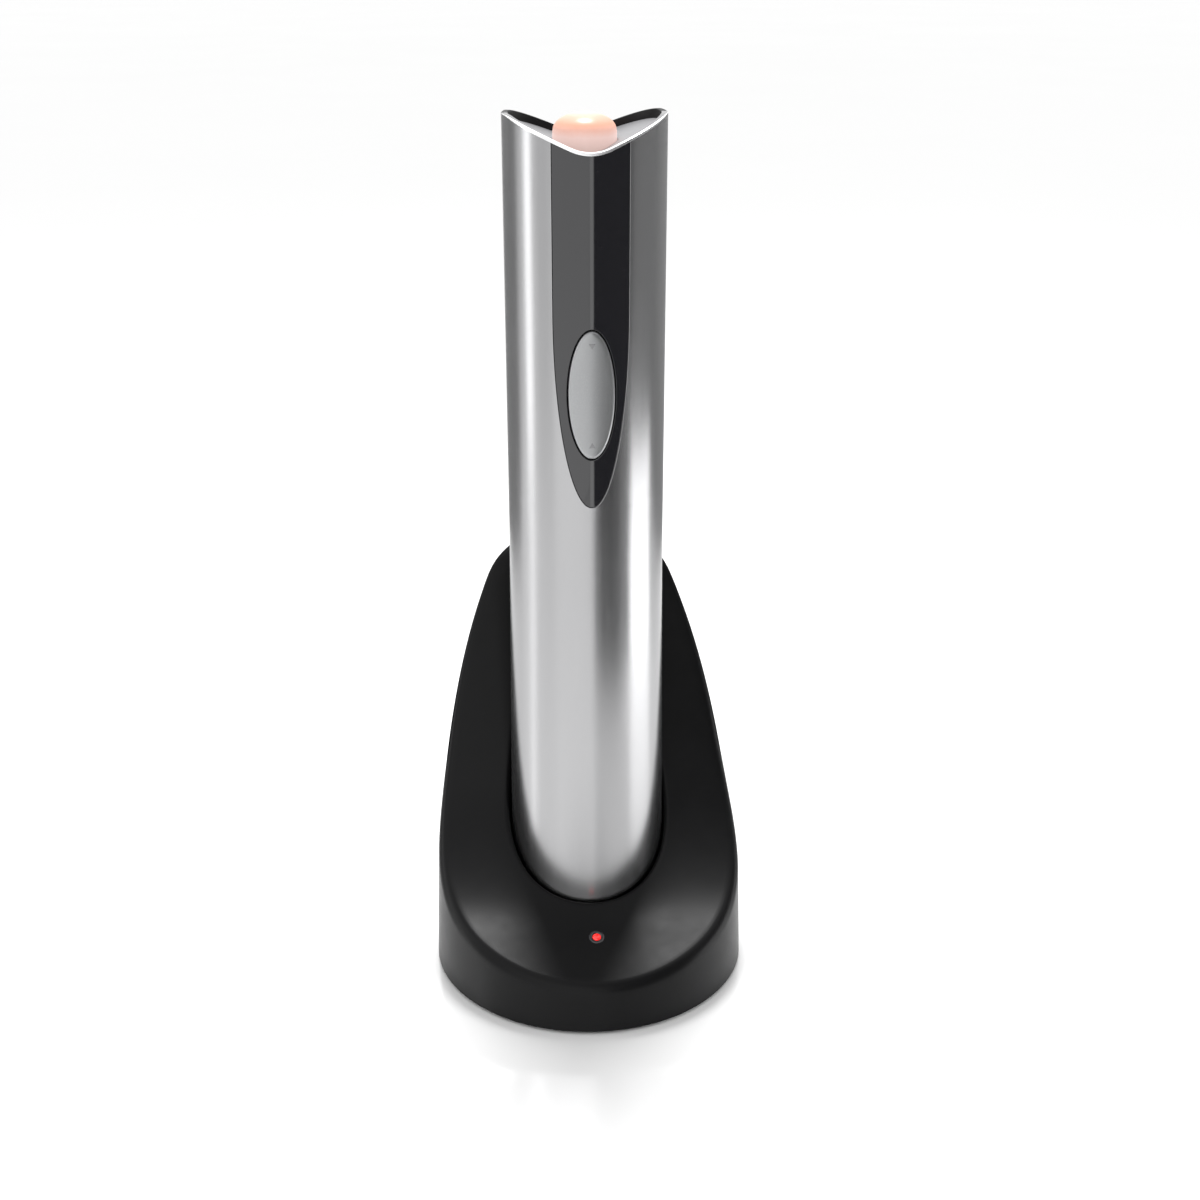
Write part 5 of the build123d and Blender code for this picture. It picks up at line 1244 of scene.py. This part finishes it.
    def feet(self) -> bpy.types.Object:
        """Four ribbed rubber feet."""
        low, high = box_mm("base_feet")
        spots = ((36.0, -24.0), (28.0, 30.0))
        profile = [(0.0, high.z), (5.8, high.z), (6.0, high.z - 0.2), (6.0, 0.5), (5.6, 0.05)]
        for groove in (4.2, 2.6):
            profile += [(groove + 0.7, 0.0), (groove + 0.4, 0.35), (groove - 0.1, 0.35), (groove - 0.4, 0.0)]
        profile += [(1.2, 0.0), (0.0, 0.0)]
        whole = Form()
        for x, y in spots:
            for side in (-1, 1):
                foot = Form().turned(profile, 48).moved(Matrix.Translation((side * x, y, 0)))
                whole.joined(foot)
        made = whole.piece("ribbed_feet", RUBBER, 30)
        return hand_over(made, Body.BASE, "foot_rubber", "base_feet")

    def build(self) -> list[bpy.types.Object]:
        """The base's visible pieces."""
        return [self.body(), *self.light(), self.feet()]


# ---------------------------------------------------------------- pieces carried over from the frame
@dataclass
class CarriedOver:
    """The frame's own pieces, each dressed in its finish."""

    finishes: dict[Finish, tuple[str, ...]] = field(default_factory=lambda: NODE_FINISHES)

    def build(self) -> list[bpy.types.Object]:
        """Every listed node, dressed."""
        dressed = []
        for finish, nodes in self.finishes.items():
            for name in nodes:
                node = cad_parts[name]
                node.data.materials.clear()
                node.data.materials.append(finish.material())
                dressed.append(node)
        return dressed


# ---------------------------------------------------------------- studio
@dataclass(frozen=True)
class Panel:
    """An upright panel that faces the opener: its bearing runs from the front towards the right."""

    name: str
    start: float
    end: float
    distance: float
    height: float
    strength: float
    foot: float = 0.002

    def middle(self) -> Vector:
        """The panel's middle, in metres."""
        bearing = radians((self.start + self.end) / 2)
        level = self.foot + self.height / 2
        return Vector((self.distance * sin(bearing), -self.distance * cos(bearing) + AXIS_Y, level))

    def width(self) -> float:
        """How wide the panel is."""
        return 2 * self.distance * tan(radians(self.end - self.start) / 2)


@dataclass
class Studio:
    """Floor, light and camera."""

    camera_place: Vector = field(default_factory=lambda: Vector((-0.0444, -0.5613 + AXIS_Y, 0.3626)))
    pitch: float = 22.3
    azimuth: float = -5.0
    lens: float = 54.1
    sky: float = 1.0
    floor_reach: float = 9000.0
    overhead_size: float = 0.2
    overhead_energy: float = 6.5
    overhead_place: Vector = field(default_factory=lambda: Vector((0.02, 0.2, 0.85)))
    lights: tuple[Panel, ...] = (
        Panel("left_strip", -96, -84, 0.62, 0.75, 2.5),
        Panel("front_left_bank", -50, 1, 0.5, 0.5, 0.4),
        Panel("edge_strip", 1.8, 6.6, 0.5, 0.5, 0.8),
        Panel("low_right_box", 52, 100, 0.3, 0.1, 3.0),
    )
    flags: tuple[Panel, ...] = (
        Panel("front_right_flag", 7.5, 62, 0.27, 0.6, 0.06),
        Panel("right_flag", 62, 112, 0.42, 0.5, 0.2),
        Panel("rear_left_flag", -165, -112, 0.4, 0.6, 0.22),
        Panel("rear_right_flag", 112, 165, 0.4, 0.6, 0.25),
    )

    def floor(self) -> None:
        """A wide pale floor that is no part of the object."""
        form = Form()
        bmesh.ops.create_grid(form.bm, x_segments=8, y_segments=8, size=self.floor_reach)
        form.piece("floor", FLOOR_WHITE)

    def lamp(self, name: str, shape: str, size: tuple[float, float], energy: float, place: Vector,
             aim: Vector) -> None:
        """Add a soft light that shows only in what it lights.

        Args:
            name: the lamp's name.
            shape: RECTANGLE or DISK.
            size: its width and height.
            energy: its power in watts.
            place: where it is, in metres.
            aim: the point that it faces.
        """
        data = bpy.data.lights.new(name, "AREA")
        data.shape = shape
        data.size, data.size_y = size
        data.energy = energy
        made = bpy.data.objects.new(name, data)
        made.location = place
        made.rotation_euler = (aim - place).to_track_quat("-Z", "Y").to_euler()
        made.visible_camera = False
        bpy.context.scene.collection.objects.link(made)

    def light(self, panel: Panel) -> None:
        """Set up a panel as a light, its strength being its brightness."""
        size = (panel.width(), panel.height)
        middle = panel.middle()
        aim = Vector((0, AXIS_Y, middle.z))
        self.lamp(panel.name, "RECTANGLE", size, panel.strength * pi * size[0] * size[1], middle, aim)

    def flag(self, panel: Panel) -> None:
        """Set up a panel as a dark card that shows only in reflections.

        Args:
            panel: its place, size and how pale it is.
        """
        form = Form()
        bmesh.ops.create_grid(form.bm, x_segments=2, y_segments=2, size=0.5 / MM)
        middle = panel.middle()
        aim = (Vector((0, AXIS_Y, middle.z)) - middle).to_track_quat("Z", "Y").to_matrix().to_4x4()
        size = Matrix.Diagonal((panel.width(), panel.height, 1, 1))
        place = Matrix.Translation((middle - Vector((0, AXIS_Y, 0))) / MM)
        form.moved(place @ aim @ size)
        card = form.piece(panel.name, StagePaint(f"{panel.name}_card", (panel.strength,) * 3, 0.9))
        card.visible_camera = False
        card.visible_shadow = False
        card.visible_diffuse = False

    def overhead(self) -> None:
        """A small soft light above, a little behind the opener."""
        size = (self.overhead_size, self.overhead_size)
        aim = Vector((0, -0.03, 0))
        self.lamp("overhead", "DISK", size, self.overhead_energy, self.overhead_place, aim)

    def world(self) -> None:
        """An even pale surround."""
        surround = bpy.data.worlds.new("surround")
        bpy.context.scene.world = surround
        surround.use_nodes = True
        background = surround.node_tree.nodes["Background"]
        background.inputs["Color"].default_value = (1.0, 1.0, 1.0, 1.0)
        background.inputs["Strength"].default_value = self.sky

    def camera(self) -> None:
        """The main view."""
        data = bpy.data.cameras.new("camera")
        data.lens = self.lens
        data.sensor_width = 36.0
        data.clip_end = 100.0
        made = bpy.data.objects.new("camera", data)
        made.location = self.camera_place
        made.rotation_euler = (radians(90 - self.pitch), 0, radians(self.azimuth))
        bpy.context.scene.collection.objects.link(made)
        bpy.context.scene.camera = made

    def build(self) -> None:
        """Set up the whole studio."""
        bpy.context.scene.view_settings.view_transform = "Standard"
        self.camera()
        self.floor()
        self.world()
        self.overhead()
        for panel in self.lights:
            self.light(panel)
        for panel in self.flags:
            self.flag(panel)


def main() -> None:
    """Build every sub-assembly in order and report its pieces."""
    Studio().build()
    for assembly in (Tube(), Insert(), Rocker(), Crown(), Stand(), CarriedOver()):
        for piece in assembly.build():
            log.info("%s: %s, %d faces", type(assembly).__name__, piece.name, len(piece.data.polygons))


if __name__ == "__main__":
    main()
